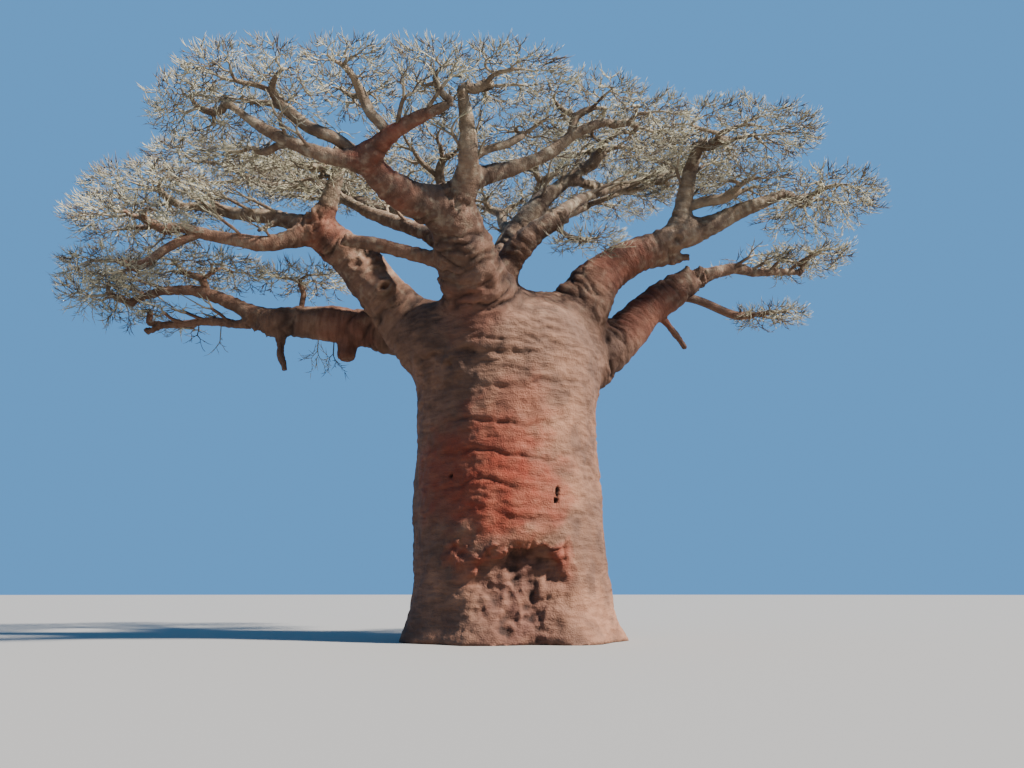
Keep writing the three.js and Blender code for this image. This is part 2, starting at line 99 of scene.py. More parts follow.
# Boughs, limbs, broken stubs and masses of twigs, as in the part's source: degrees, and thick and tip are
# diameters.
BOUGHS = [
    # name, foot, heading, rise, turn, lift, length, thick, tip
    ("bough_left_low", (-2.0, 0.3, 10.1), 178, 2, 0, 2, 6.6, 1.5, 1.05),
    ("bough_left", (-2.0, -0.3, 8.8), 199, 43, 0, 0, 6.3, 1.9, 1.2),
    ("bough_front", (-0.6, -1.6, 9.6), 246, 44, 0, 0, 4.3, 2.1, 1.4),
    ("bough_inner_right", (-1.3, -0.4, 10.3), 346, 70, 32, -30, 6.9, 1.35, 0.42),
    ("bough_right_inner", (-1.0, -0.9, 10.1), 324, 73, 24, -50, 4.3, 1.05, 0.72),
    ("bough_right", (1.2, -0.2, 9.4), 0, 59, -3, -38, 6.4, 1.9, 0.9),
    ("bough_right_low", (1.7, 0.6, 8.4), 7, 40, 0, 0, 6.2, 1.65, 1.05),
    ("bough_back_left", (-1.2, 1.3, 9.7), 112, 66, 0, 0, 6.4, 1.7, 0.6),
    ("bough_back", (-0.6, 1.5, 9.7), 100, 67, -46, -22, 8.5, 1.9, 0.42),
]
LIMBS = [
    # name, what it stands on, share, heading, rise, turn, lift, length, thick, tip
    ("limb_left_low_upper", "bough_left_low", 0.95, 181, 34, -6, -44, 4.9, 0.62, 0.26),
    ("limb_left_low_lower", "bough_left_low", 0.97, 168, 2, -2, 2, 4.2, 0.36, 0.24),
    ("limb_left_mid", "bough_left", 0.97, 196, -30, 2, 50, 4.5, 0.66, 0.32),
    ("limb_left_upper", "bough_left", 0.97, 162, 20, 12, -10, 4.7, 0.66, 0.27),
    ("limb_left_rising", "bough_left", 0.99, 330, 58, -24, 8, 2.6, 0.7, 0.36),
    ("limb_left_behind", "bough_front", 0.6, 142, 38, 24, -20, 8.4, 0.62, 0.26),
    ("limb_left_broken", "bough_front", 0.56, 174, 13, -2, 0, 4.0, 0.48, 0.4),
    ("limb_front_left", "bough_front", 0.96, 202, -6, 30, 42, 3.1, 1.1, 0.74),
    ("limb_front_left_out", "limb_front_left", 0.97, 202, -8, -13, 52, 4.1, 0.55, 0.22),
    ("limb_front_red", "limb_front_left", 0.99, 325, 30, 17, -18, 3.0, 0.6, 0.24),
    ("limb_front_rising", "bough_front", 0.97, 314, 38, -76, 28, 3.6, 0.8, 0.3),
    ("limb_front_right", "limb_front_rising", 0.28, 27, 22, -45, 8, 4.7, 0.58, 0.24),
    ("limb_inner_right_out", "bough_inner_right", 0.9, 46, 2, -10, 28, 5.0, 0.38, 0.2),
    ("limb_right_inner_out", "bough_right_inner", 0.97, 62, 46, -28, -32, 6.6, 0.5, 0.2),
    ("limb_right_rising", "bough_right", 0.95, 315, 80, -25, -24, 3.2, 0.7, 0.36),
    ("limb_right_out", "bough_right", 0.98, 352, 16, 0, 8, 3.7, 0.75, 0.32),
    ("limb_right_low_out", "bough_right_low", 0.97, 14, 22, 6, -26, 4.8, 0.5, 0.2),
]
STUBS = [
    # what it stands on, share, heading, rise, length, thick, tip
    ("bough_left_low", 0.91, 350, -80, 1.75, 0.36, 0.17),
    ("bough_left_low", 0.55, 270, -88, 1.15, 0.56, 0.5),
    ("limb_left_low_lower", 0.96, 190, -30, 0.6, 0.24, 0.2),
    ("limb_left_upper", 0.3, 200, -32, 0.95, 0.2, 0.15),
    ("bough_right", 0.62, 8, 8, 2.4, 0.5, 0.32),
    ("bough_right_low", 0.7, 20, -50, 1.9, 0.3, 0.16),
]
MASSES = [
    # name, what it stands on, share, middle, half sizes, bare, thick, tips
    ("twigs_left_low", "limb_left_low_upper", 1, (-14.0, 0.8, 11.3), (1.5, 2.2, 1.1), 0.3, 0.26, 11),
    ("twigs_left_low_top", "limb_left_low_upper", 0.4, (-11.0, 0.5, 12.2), (2.5, 1.9, 0.7), 0.5, 0.28, 11),
    ("twigs_left_sprig", "bough_left_low", 0.79, (-7.2, 0.3, 11.8), (1.6, 1.4, 0.6), 0.6, 0.2, 8),
    ("twigs_left_low_end", "limb_left_low_lower", 1, (-13.3, 1.4, 11.1), (0.9, 0.9, 0.5), 0.4, 0.22, 6),
    ("twigs_left_mid", "limb_left_mid", 1, (-11.7, -3.0, 12.4), (2.0, 2.0, 0.75), 0.25, 0.32, 11),
    ("twigs_left_mid_low", "limb_left_mid", 0.84, (-12.1, -3.3, 10.8), (1.5, 1.6, 0.6), 0.6, 0.28, 9),
    ("twigs_left_upper", "limb_left_upper", 1, (-12.0, -1.0, 14.3), (2.2, 2.3, 0.8), 0.25, 0.27, 12),
    ("twigs_left_rising", "limb_left_rising", 1, (-6.6, -2.6, 14.3), (2.6, 1.7, 0.45), 0.3, 0.34, 9),
    ("twigs_left_behind", "limb_left_behind", 1, (-10.6, 0.6, 16.0), (2.4, 2.5, 0.8), 0.2, 0.26, 12),
    ("twigs_front_left_low", "limb_front_left_out", 1, (-8.4, -6.5, 14.2), (1.5, 2.0, 0.7), 0.25, 0.22, 10),
    ("twigs_front_left_under", "limb_front_left_out", 0.5, (-7.7, -5.4, 13.8), (1.8, 1.6, 0.4), 0.5, 0.22, 8),
    ("twigs_front_left_top", "limb_front_left", 1, (-7.0, -6.7, 15.1), (2.2, 1.9, 0.7), 0.55, 0.34, 12),
    ("twigs_front_top", "limb_front_red", 0.34, (-4.4, -6.8, 15.15), (1.8, 1.9, 0.6), 0.5, 0.3, 10),
    ("twigs_front_crown_left", "limb_front_red", 1, (-2.2, -7.1, 15.15), (1.5, 1.6, 0.5), 0.35, 0.2, 8),
    ("twigs_front_crown", "limb_front_rising", 1, (-0.2, -6.2, 15.4), (1.9, 1.9, 0.6), 0.3, 0.28, 11),
    ("twigs_front_inner", "limb_front_rising", 0.42, (0.6, -4.9, 14.9), (1.5, 1.3, 0.45), 0.6, 0.24, 7),
    ("twigs_front_right_top", "limb_front_right", 0.72, (2.1, -4.6, 15.6), (1.9, 1.7, 0.6), 0.35, 0.26, 11),
    ("twigs_front_right", "limb_front_right", 1, (3.8, -4.4, 15.1), (1.6, 1.8, 0.5), 0.25, 0.24, 9),
    ("twigs_inner_right", "bough_inner_right", 1, (3.4, -0.4, 16.6), (2.3, 2.1, 0.6), 0.35, 0.42, 11),
    ("twigs_inner_right_out", "limb_inner_right_out", 1, (6.4, 2.8, 17.4), (2.3, 2.2, 0.6), 0.2, 0.2, 11),
    ("twigs_right_inner", "limb_right_inner_out", 1, (6.0, 1.7, 16.1), (1.6, 1.5, 0.4), 0.2, 0.2, 7),
    ("twigs_hanging", "bough_right_inner", 0.9, (2.4, -2.4, 12.2), (1.2, 0.9, 0.4), 0.5, 0.18, 7),
    ("twigs_right_top", "limb_right_rising", 1, (7.1, -1.8, 15.95), (3.0, 2.5, 0.75), 0.3, 0.36, 14),
    ("twigs_right_mid", "limb_right_rising", 0.3, (8.0, -1.2, 14.6), (1.7, 1.6, 0.4), 0.6, 0.36, 8),
    ("twigs_right_out", "limb_right_out", 1, (10.25, -1.0, 13.95), (2.0, 2.3, 1.0), 0.25, 0.32, 13),
    ("twigs_right_low", "limb_right_low_out", 1, (10.9, 2.5, 13.4), (1.6, 1.7, 0.5), 0.2, 0.2, 8),
    ("twigs_right_low_down", "bough_right_low", 0.8, (9.1, 1.5, 10.9), (1.3, 1.2, 0.45), 0.66, 0.3, 7),
    ("twigs_centre", "bough_back_left", 1, (-3.0, 0.6, 17.1), (2.1, 2.2, 0.6), 0.3, 0.4, 10),
    ("twigs_back_left_out", "bough_back_left", 0.94, (-7.4, 3.6, 16.9), (2.6, 2.5, 0.6), 0.6, 0.5, 12),
    ("twigs_back_left", "bough_back_left", 0.7, (-4.4, 5.2, 17.6), (2.5, 2.5, 0.6), 0.55, 0.44, 12),
    ("twigs_back", "bough_back", 0.75, (-0.6, 7.4, 17.9), (2.5, 2.4, 0.6), 0.5, 0.44, 12),
    ("twigs_back_inner", "bough_back", 1, (1.6, 3.8, 18.0), (2.4, 2.2, 0.6), 0.3, 0.4, 11),
    ("twigs_back_right", "bough_back", 0.88, (4.2, 6.6, 17.8), (2.6, 2.5, 0.6), 0.5, 0.4, 12),
]

# The source's rule for limbs and twigs.
LIMB_STEP = 0.95  # metres between a limb's points
KINK = 6  # degrees by which a limb wanders
STEADY = 3  # it wanders less in the first of this many parts of its length
TURN_WAVES, LIFT_WAVES = (1.1, 2.3), (1.3, 2.1)  # how many waves it makes to the sides, and up and down
WEAK_WAVE = 0.6  # how strong the second ones are
ROOT_SWELL = 0.34  # extra share of its radius where a limb leaves what carries it
SWELL_LENGTH = 0.6  # how far that swelling runs, in the limb's thicknesses
BURIED = 1.3  # how far a bough runs inside the trunk before that swelling dies away
REACH_SHARE = 0.42  # how much of the way to its tips' middle a twig goes before it forks
LOW_TIPS = 0.18  # share of the tips that hang under the others
LOW_LEVEL = -0.5  # how far under, as a share of how high they would be
TIP_TURN = 0.5  # the range in radians over which tips stray from an even spread
TIP_LEAST, TIP_MORE = 0.7, 0.3  # the share of the dome's height at which they end, and the most on top
SPACE_EDGE = 0.4  # metres by which a mass's space runs past its tips
STEM_STEP = 0.45  # metres between the points of a mass's stem
STEM_AHEAD, STEM_UP = 0.3, 0.14  # how much it bends on along its limb, or up where it leaves the limb's side
STEM_SUNK = 0.1  # how far it starts inside its limb's tip
UNDERSIDE = 0.5  # how far under its middle a mass is entered, as a share of its half height
BOUGH_SEED, LIMB_SEED, STUB_SEED, MASS_SEED = 11, 41, 100, 201

# How the bark's skin is made.
TRUNK_SIDES, TRUNK_RINGS = 150, 110
LIMB_SIDES = 28
THICK_SKIN = 0.11  # the voxel of the first, thick skin, which rounds the crotches
THIN_SKIN = 0.058  # the voxel of the last one
THICK_FILLET, THICK_ROUNDS = 0.7, 9  # how far from a crotch the first skin is smoothed, and how many times
THIN_FILLET, THIN_ROUNDS = 0.25, 6  # the same for the last one
HEAVY = 1.0  # limbs this thick at their foot are in the first skin
FINE_STEP = 0.12  # between points of a smoothed centreline
UPRIGHT = 0.9  # a way that rises more steeply than this counts as upright
RIM_DEPTH = 0.07  # how far the rim of each piece of skin is turned inwards
NEAR_BARK = 1.5  # how far from its bark a limb's distance is worked out
FAR = 99.0  # stands for any distance beyond that
FLAT_FOOT = (0.0, 0.25)  # heights between which the relief begins
CUT_LEVEL = 0.03  # everything under this height lies in the flat cut

# The noise of each part of the bark's relief: its size in metres along each axis, its seed and its octaves.
LUMPS = ((1.5, 1.5, 1.9), 1, 2)
DENTS = ((0.4, 0.4, 0.4), 2, 3)
BENDS = ((0.8, 0.8, 0.8), 3, 2)
PATCHES = ((1.7, 1.7, 1.2), 4, 2)
WRINKLES = ((1.1, 1.1, 0.17), 5, 2)
GRAIN = ((0.15, 0.15, 0.15), 6, 2)
CUTS = ((1.3, 1.3, 0.3), 7)
CREASE_PATHS = ((1.7, 1.7, 4.0), 8, 3)
RIBS = ((0.35, 0.35, 1.0), 9)
PITS = ((0.35, 0.35, 0.4), 10, 3)
LIP = ((0.3, 0.3, 0.3), 11, 2)
SPIKES = ((0.14, 0.14, 0.3), 12, 2)
RED_EDGES = ((0.5, 0.5, 0.5), 13, 4)
KNOT_FORM = ((0.8, 0.8, 1.3), 14, 2)
NOISE_FADE, NOISE_FINER = 0.9, 2.0  # how fast finer noise fades, and how much finer each octave is
SEED_SHIFT = 7.3  # how far apart two seeds are in the noise

# How high each part of the relief stands in metres, and where.
LUMP_HEIGHT, DENT_HEIGHT, GRAIN_HEIGHT = 0.085, 0.036, 0.008
SLENDER = 0.15  # the share of it that the thinnest limbs have
DENTS_LEAST = 0.7  # the least share of the dents
LINE_BEND, BEND_SHARES = 0.2, (0.3, 0.3, 1)  # how far lines stray from a ring, and the share on each axis
PATCH_EDGE = (-0.2, 0.4)  # the noise between which a wrinkled patch begins
WRINKLED = (0.01, 0.014, 0.035)  # the wrinkles anywhere, in a patch and near a fork
CUT_DEEP = (0.02, 0.1)  # the cuts in a patch and near a fork
FORK_REACH = (1.5, 0.4)  # how far from a fork its folds begin, and are whole
TRUNK_FOLDS, LIMB_FOLDS = 0.3, 0.8  # how strong those are
SEAM = (0.03, 0.3)  # how far from the next piece the lines begin, and are whole
RIB_HEIGHT, PIT_HEIGHT, TORN_SUNK = 0.09, 0.12, 0.06  # in the torn wood of the foot
LIP_FROM = (1.5, 2.5)  # the heights between which the lip of bark over it begins
LIP_AT, LIP_WIDE = 0.25, 0.22  # where that lip is, as a share of how torn the bark is
LIP_HEIGHT, LIP_UNEVEN = 0.1, 0.12
BREAK_LENGTH, SPIKE_HEIGHT = 0.12, 0.14  # of the ragged end of a broken limb

# Knots, burls, holes and scars: the place, how wide, how far it stands out, how deep its middle is.
KNOTS = [
    ((-1.83, -2.42, 8.22), 0.46, 0.13, -0.08),
    ((-1.83, -2.42, 8.22), 0.2, 0.05, 0.1),
    ((-1.84, -2.42, 4.85), 0.1, 0.02, 0.22),
    ((1.27, -2.59, 4.36), 0.1, 0.02, 0.2),
    ((1.3, -2.59, 4.24), 0.1, 0.02, 0.22),
    ((1.24, -2.59, 4.1), 0.12, 0.02, 0.25),
    ((-2.75, -1.9, 11.4), 0.3, 0.16, 0.0),
    ((-4.0, -2.1, 10.9), 0.2, 0.12, 0.3),
    ((-4.2, -2.1, 10.8), 0.55, 0.06, -0.34),
    ((-5.05, -2.3, 11.6), 0.24, 0.07, 0.02),
    ((-6.2, -1.7, 12.0), 0.2, 0.05, 0.02),
    ((1.2, -1.2, 11.0), 0.22, 0.07, 0.12),
    ((-1.9, -3.6, 11.6), 0.16, 0.04, 0.06),
    ((5.6, -1.0, 12.9), 0.24, 0.06, 0.08),
    ((0.1, -1.7, 12.55), 0.24, 0.05, 0.14),
    ((2.95, -0.6, 10.4), 0.5, 0.08, 0.0),
    ((-0.9, -3.3, 10.6), 0.4, 0.09, 0.0),
    ((0.3, 2.9, 6.4), 0.5, 0.1, 0.16),
    ((2.6, 1.5, 4.6), 0.3, 0.08, 0.14),
]
KNOT_REACH = 3  # how far a knot reaches, in its widths
KNOT_UNEVEN = 0.45
KNOT_RIM, RIM_WIDE, KNOT_HOLE = 0.85, 0.45, 0.55  # where its rim is, and how wide rim and hole are

# Long creases round the trunk: height, the side where it is deepest, how far it runs in degrees, depth.
CREASES = [
    (6.4, 262, 46, 0.045),
    (5.45, 272, 52, 0.05),
    (4.5, 258, 40, 0.04),
    (3.5, 300, 34, 0.04),
    (7.6, 296, 40, 0.04),
    (8.6, 235, 36, 0.05),
    (5.0, 20, 70, 0.045),
    (7.0, 100, 80, 0.045),
    (3.6, 170, 70, 0.04),
]
CREASE_STRAY = 0.3  # how far a crease strays up and down
CREASE_WIDE = 0.06
FOLD_ABOVE, FOLD_WIDE, FOLD_HEIGHT = 0.2, 0.15, 0.5  # the fold over it, as high as this share of its depth

RED_PLACES = [
    # place, how far it reaches, how strong
    ((-0.4, -2.8, 4.4), 2.0, 1.0),
    ((0.5, -2.8, 4.3), 1.5, 0.7),
    ((-0.3, -2.8, 5.6), 1.6, 0.8),
    ((-1.7, -2.4, 4.9), 1.8, 0.8),
    ((0.2, -2.8, 6.9), 1.2, 0.4),
    ((-1.2, -2.9, 9.9), 1.2, 0.3),
    ((-6.0, -1.8, 12.9), 0.9, 0.6),
    ((-3.7, -4.9, 12.9), 1.3, 0.5),
    ((-3.3, -6.1, 14.0), 1.6, 0.7),
    ((3.6, -0.9, 12.5), 1.5, 0.5),
    ((4.7, 0.6, 10.9), 1.6, 0.45),
    ((-5.6, 0.2, 9.8), 1.3, 0.3),
]
RED_FADE = (1.2, 0.35)  # shares of its reach between which a red place begins
RED_STRAY = 0.35
RED_LIP = (0.3, 0.25, 0.9)  # the red lip over the torn wood: where it is, how wide and how strong
RED_LIP_FROM = (1.3, 2.4)  # the heights between which it begins
TORN_LEAST = (0.01, 0.02)  # how torn the bark is at least where it has a lip, and where that is red

# The twigs.
TIPS_PER_AREA = 140  # ends of fine twigs in a mass, for each square metre of half size times half size
FINE_SPREAD = 0.12  # metres by which the fine twigs pass the source's tips sideways
FINE_REACH = 0.34  # REACH_SHARE for the fine twigs
FINE_SAG = 0.07  # how far a last twig dips, as a share of its length
FINE_TOP, FINE_LOW = 0.74, -0.6  # how high and how low they may end, as shares of the dome's height
DOME_RIM, DOME_FLAT = 6, 0.35  # the powers that give the dome its steep rim and its flat top
DOME_CROWD = 1.8  # the power by which they crowd under its top
FINE_TURN = 0.4  # radians by which they stray from an even spread
GOLDEN = 3 - math.sqrt(5)  # the golden angle in half turns, from each tip to the next
LAST_DIP = 0.55  # where a last twig dips, as a share of its length
THINNING = 0.6  # the power by which twigs thin as they divide
THINNEST = 0.011
BARK_FROM, BRANCH_FROM = 0.055, 0.028  # twigs of at least these radii have the bark of limbs, or of branches
TWIGLET_STEP = 0.115  # between twiglets along a fine twig
TWIGLET_LENGTH = (0.15, 0.38)
TWIGLET_RADIUS = 0.012
TWIGLET_LEAN = (12, 40)  # degrees off the twig that it stands on
TWIGLET_UPWARD = 0.3
TWIGLET_BOW, TWIGLET_BOW_STRAY = 0.2, 0.1  # how much it turns up half way, and how far that strays
TWIGLET_TAPER = 0.75  # its radius half way, as a share of that at its foot
TWIGLET_SUNK = 0.03  # how far before a fine twig's end the last one starts
BARE_FROM = 3  # a twig that carries more fine tips than this has no twiglets
ANY_WAY = (0.3, 0.5, 0.8)  # a way that is across nearly every other
STEM_SIDES, TWIG_SIDES, FINE_SIDES = 6, 4, 3
FOUR_SIDED, SMOOTHED = 0.03, 0.02  # the radii over which twigs have TWIG_SIDES, and are smoothed
SMOOTH_SHARE = 0.3  # the step of that, as a share of the first stretch
SPRAY_PATHS = 9  # how many twigs in a row have one colour
SPRAY_MATERIALS = ("bark", "branch", "twig_pale", "twig_grey", "twig_brown")
TINTS = 3  # how many of these are for fine twigs
CROOKED = 0.026  # how far a twig's points stray each way
STRAY_WAVES = (7.3, 12.1)  # radians for each metre in that
STRAIGHT, FREE = 0.3, 1.3  # how far from a stem's foot twigs start to stray, and do so in full
CLEARANCE = 0.03
TIP_CLEARANCE = 0.1  # what is added to that for the ends of fine twigs
CROSSING = 0.06  # how far fine twigs of neighbouring masses may cross, as a share of a mass's size
OVERREACH = 0.02  # how far twigs may pass the solids' box, as a share of it
TINY = 1e-6  # keeps a length from being nothing

# Small side branches that leave the limbs before their tips.
SIDE_FROM, SIDE_TO = 0.25, 0.97  # the shares of a limb between which it has them
SIDE_STRAY = 0.1  # by how much the first one may be further out
SIDE_STEP = 0.42  # metres between them
SIDE_LENGTH = (0.8, 1.9)
SIDE_TIPS = 26
SIDE_THICK = 0.12
SIDE_CARRIER = 0.8  # only where the limb is thinner than this
SIDE_OUT, SIDE_UP, SIDE_ALONG = (0.4, 1.0), (0.0, 0.6), 0.7  # how much it points out, up and along the limb
SIDE_HALF = (0.6, 0.6, 0.35)  # the half sizes of its spray, in its lengths
SIDE_STEM = 0.35  # its stem's share of its length
SIDE_FEWEST = 3  # it needs more tips than this
SIDE_CLEARANCE = 0.15  # from wood
SIDE_FREE = 0.9  # how deep in the next mass's space it may not be
SIDE_TOP = 0.7  # how high it may end in its own mass, as a share of the half height

# Thin twigs that hang from a limb: the mass that they count to, the limb, the share and how far they hang.
HANGING = [
    ("twigs_left_low_end", "limb_left_low_lower", 0.42, 1.1),
    ("twigs_left_low_end", "limb_left_low_lower", 0.62, 0.8),
    ("twigs_left_sprig", "bough_left_low", 0.62, 1.2),
    ("twigs_left_sprig", "bough_left_low", 0.7, 0.9),
]
HANG_MIDDLE, HANG_STEM = 0.75, 0.2  # shares of that at which its tips' middle is, and where its stem ends
HANG_TIPS, HANG_THICK = 8, 0.05
HANG_SPREAD, HANG_DEEP = (0.35, 0.3), 0.28  # how far the tips spread to the sides, and down as a share
HANG_GAP = 0.15  # the least distance of a tip from the limb

# Colours and finishes.
GREY_BROWN = (0.065, 0.037, 0.026, 1)
PINK_BEIGE = (0.265, 0.124, 0.07, 1)
LIMB_BEIGE = (0.22, 0.115, 0.07, 1)
RED_BARK = (0.2, 0.035, 0.016, 1)
# painted shade, laid into the deep lines, creases, knot holes and torn pits of the relief
LINE_SHADE = (0.02, 0.01, 0.007, 1)
LICHEN = (0.38, 0.32, 0.22, 1)
TORN = (0.11, 0.045, 0.03, 1)
CROWN_BARK = (0.27, 0.2, 0.13, 1)
TRUNK_TONE, LIMB_TONE = 6.0, 9.6  # heights between which the trunk's colour passes into the limbs'
LOW_CROWN, CROWN = 12.2, 14.2  # heights between which that passes into the crown's
# painted shade in the grooves of the fine bands round each limb, where their bump is lowest
BAND_GROOVE_SHADE = (0.72, 0.68, 0.66, 1)
WHITE = (1, 1, 1, 1)
PLAIN_TONES = {
    # what it is for, its name and colour
    "branch": ("branch_bark", (0.27, 0.22, 0.15, 1)),
    "twig_pale": ("twig_pale", (0.41, 0.37, 0.25, 1)),
    "twig_grey": ("twig_grey", (0.27, 0.24, 0.17, 1)),
    "twig_brown": ("twig_brown", (0.13, 0.1, 0.07, 1)),
    "floor": ("floor", (0.25, 0.235, 0.215, 1)),
}
BARK_ROUGH, TWIG_ROUGH, GLOSS = 0.85, 0.9, 0.25

# Patterns in the bark: scale and detail of the noise, and where it begins and is whole.
BROAD = (0.5, 4.0, 0.38, 0.62)
MOTTLE = (2.6, 6.0, 0.35, 0.7)
BLOTS = (1.3, 5.0, 0.5, 0.62)
SPOTS = (4.0, 8.0, 0.5, 0.7)
FINE = (24.0, 6.0, 0.3, 0.7)
BANDS, BAND_STRETCH = (4.0, 7.0, 0.36, 0.6), (0.45, 0.45, 1.8)
DULL, BLOTTED, MOTTLED = 0.6, 0.5, 0.2  # how much grey brown is in the patches, blots and mottle
LICHEN_MOST = 0.7
RED_PALE, TORN_PALE = 0.3, 0.35  # how much pale bark is mottled into the red bark and the torn wood
LINES_FROM, LINES_FULL, LINE_SHADE_SHARE = -0.01, -0.09, 0.85  # depths of the lines over which painted shade darkens them, and how much
BAND_BUMP, FINE_BUMP = (0.45, 0.03), (0.8, 0.02)  # strength and distance

# Floor and light.
FLOOR_RADIUS, FLOOR_SIDES = 600, 96
SUN_STRENGTH, SUN_WIDE, SUN_COLOUR = 15.5, 4, (1.0, 0.96, 0.9)
SUN_LOW, SUN_SIDE = 48, 66  # degrees off the top, and to the right
SKY_COLOUR, SKY_STRENGTH = (0.16, 0.48, 1.0, 1), 0.75
VIEW_END = 2000

Limb = namedtuple("Limb", "name points length thick tip buried")
Mass = namedtuple("Mass", "name on share middle half bare thick tips")
UP = np.array((0.0, 0.0, 1.0))


def unit(way):
    return way / np.linalg.norm(way)


# Repeatable numbers from 0 to 1, the same as in the part's source.
def seeded(seed):
    word = 0xFFFFFFFF
    state = seed
    while True:
        state = (state + 0x6D2B79F5) & word
        mixed = ((state ^ state >> 15) * (state | 1)) & word
        mixed = (mixed + ((mixed ^ mixed >> 7) * (mixed | 61) & word) & word) ^ mixed
        yield (mixed ^ mixed >> 14) / 4294967296


def direction(heading, rise):
    h = math.radians(heading)
    r = math.radians(rise)
    return np.array((math.cos(h) * math.cos(r), math.sin(h) * math.cos(r), math.sin(r)))


# The centreline of a limb, as a row of points.
def centreline(start, heading, rise, turn, lift, length, seed):
    steps = max(3, int(length / LIMB_STEP + 0.5))
    random = seeded(seed)
    a, b, c, d = (next(random) for _ in range(4))

    def wave(s, turns, phase):
        return math.sin(2 * math.pi * (turns * s + phase))

    points = [np.array(start, float)]
    for i in range(steps):
        s = (i + 0.5) / steps
        kink = min(1, STEADY * s) * KINK
        way = direction(
            heading + turn * s + kink * (wave(s, TURN_WAVES[0], a) + WEAK_WAVE * wave(s, TURN_WAVES[1], b)),
            rise + lift * s + kink * (wave(s, LIFT_WAVES[0], c) + WEAK_WAVE * wave(s, LIFT_WAVES[1], d)),
        )
        points.append(points[-1] + way * length / steps)
    return np.array(points)


# The point at a share of a centreline's length.
def point_at(points, share):
    f = share * (len(points) - 1)
    i = min(int(f), len(points) - 2)
    return points[i] + (points[i + 1] - points[i]) * (f - i)


# A limb's radius: a taper, with a swelling where it leaves what carries it.
def limb_radius(limb, share):
    taper = (limb.thick + (limb.tip - limb.thick) * share) / 2
    beyond = np.maximum(0, share * limb.length - limb.buried)
    return taper * (1 + ROOT_SWELL * np.exp(-beyond / (SWELL_LENGTH * limb.thick)))


# Every bough and limb by name, and the stubs, each with the name of the limb that it is part of.
def grow_limbs():
    limbs = {}
    seeds = {}
    for i, (name, foot, heading, rise, turn, lift, length, thick, tip) in enumerate(BOUGHS):
        seeds[name] = BOUGH_SEED + i
        points = centreline(foot, heading, rise, turn, lift, length, seeds[name])
        limbs[name] = Limb(name, points, length, thick, tip, BURIED)
    for i, (name, on, share, heading, rise, turn, lift, length, thick, tip) in enumerate(LIMBS):
        seeds[name] = LIMB_SEED + i
        start = point_at(limbs[on].points, share)
        points = centreline(start, heading, rise, turn, lift, length, seeds[name])
        limbs[name] = Limb(name, points, length, thick, tip, limb_radius(limbs[on], share))
    stubs = []
    for on, share, heading, rise, length, thick, tip in STUBS:
        start = point_at(limbs[on].points, share)
        points = centreline(start, heading, rise, 0, 0, length, seeds[on] + STUB_SEED)
        stubs.append(Limb(on, points, length, thick, tip, limb_radius(limbs[on], share)))
    return limbs, stubs


# A smooth curve through points, with a new point about every step, and each one's share of the way.
def smooth_curve(points, step):
    ends = np.vstack((2 * points[0] - points[1], points, 2 * points[-1] - points[-2]))
    per = max(1, round(np.linalg.norm(points[1] - points[0]) / step))
    t = (np.arange(per) / per)[:, None]
    curve = []
    for p, q, r, s in zip(ends, ends[1:], ends[2:], ends[3:]):
        bend = (2 * p - 5 * q + 4 * r - s) * t**2 + (3 * q - p - 3 * r + s) * t**3
        curve.append(q + (r - p) * t / 2 + bend / 2)
    curve = np.vstack(curve + [points[-1:]])
    return curve, np.linspace(0, 1, len(curve))


# Directions along a curve, and two across it that turn as little as they can.
def frames_along(curve):
    along = np.gradient(curve, axis=0)
    along /= np.linalg.norm(along, axis=1)[:, None]
    side = np.cross(along[0], UP if abs(along[0][2]) < UPRIGHT else (1.0, 0.0, 0.0))
    sides = []
    for way in along:
        side = unit(side - way * side.dot(way))
        sides.append(side)
    sides = np.array(sides)
    return along, sides, np.cross(along, sides)


# Bark's skin


# How far two directions are apart, in degrees.
def apart(a, b):
    return np.abs((a - b + 180) % 360 - 180)


def bump(x):
    return np.exp(-x * x)


# How much of the bark is torn away at a height and side of the trunk, from 0 to 1.
def worn_away(height, side):
    x = math.cos(math.radians(side)) * WORN_ROUND
    y = math.sin(math.radians(side)) * WORN_ROUND
    stray = noise.fractal([v / WORN_BAYS for v in (x, y, height)], *WORN_NOISE) * WORN_RAGGED
    worn = bump((apart(side + WORN_STRAY * stray, WORN_SIDE) / WORN_SPREAD) ** WORN_SHARP)
    return worn * min(1, max(0, (WORN_TOP + stray - height) / WORN_EDGE * WORN_STEEP))


# The trunk's radius at a height and a side, before its top rounds over and its foot is worn.
def trunk_girth(height, side):
    lobe = ROOT_LOBE_DEPTH * np.cos(np.radians(side * ROOT_LOBES))
    radius = WAIST_RADIUS + np.exp(-height / FLARE_HEIGHT) * (FOOT_FLARE + lobe)
    radius = radius + BELLY_OUT * bump((height - BELLY_HEIGHT) / BELLY_TALL)
    radius = radius + NECK_OUT * np.maximum(0, (height - NECK_FROM) / NECK_OVER)
    for facing, spread, out, high, tall in SWELLINGS:
        radius = radius + out * bump(apart(side, facing) / spread) * bump((height - high) / tall)
    return radius


def trunk_middle(height):
    return LEAN * np.minimum(1, height / LEAN_HEIGHT)


# How far points are from the trunk's middle line, and on which side of it, in degrees.
def round_trunk(points):
    x = points[:, 0] - trunk_middle(points[:, 2])
    return np.hypot(x, points[:, 1]), np.degrees(np.arctan2(points[:, 1], x)) % 360


# Puts a capped cylinder into the bmesh, with each of its rings' points where place(share, x, y) says.
def bend_cylinder(body, sides, rings, place):
    form = bmesh.new()
    bmesh.ops.create_cone(form, cap_ends=True, segments=sides, radius1=1, radius2=1, depth=1)
    tall = [edge for edge in form.edges if abs(edge.verts[0].co.z - edge.verts[1].co.z) > 0.5]
    bmesh.ops.subdivide_edges(form, edges=tall, cuts=rings - 1)
    for vert in form.verts:
        vert.co = place(vert.co.z + 0.5, vert.co.x, vert.co.y)
    data = bpy.data.meshes.new("form")
    form.to_mesh(data)
    form.free()
    body.from_mesh(data)
    bpy.data.meshes.remove(data)


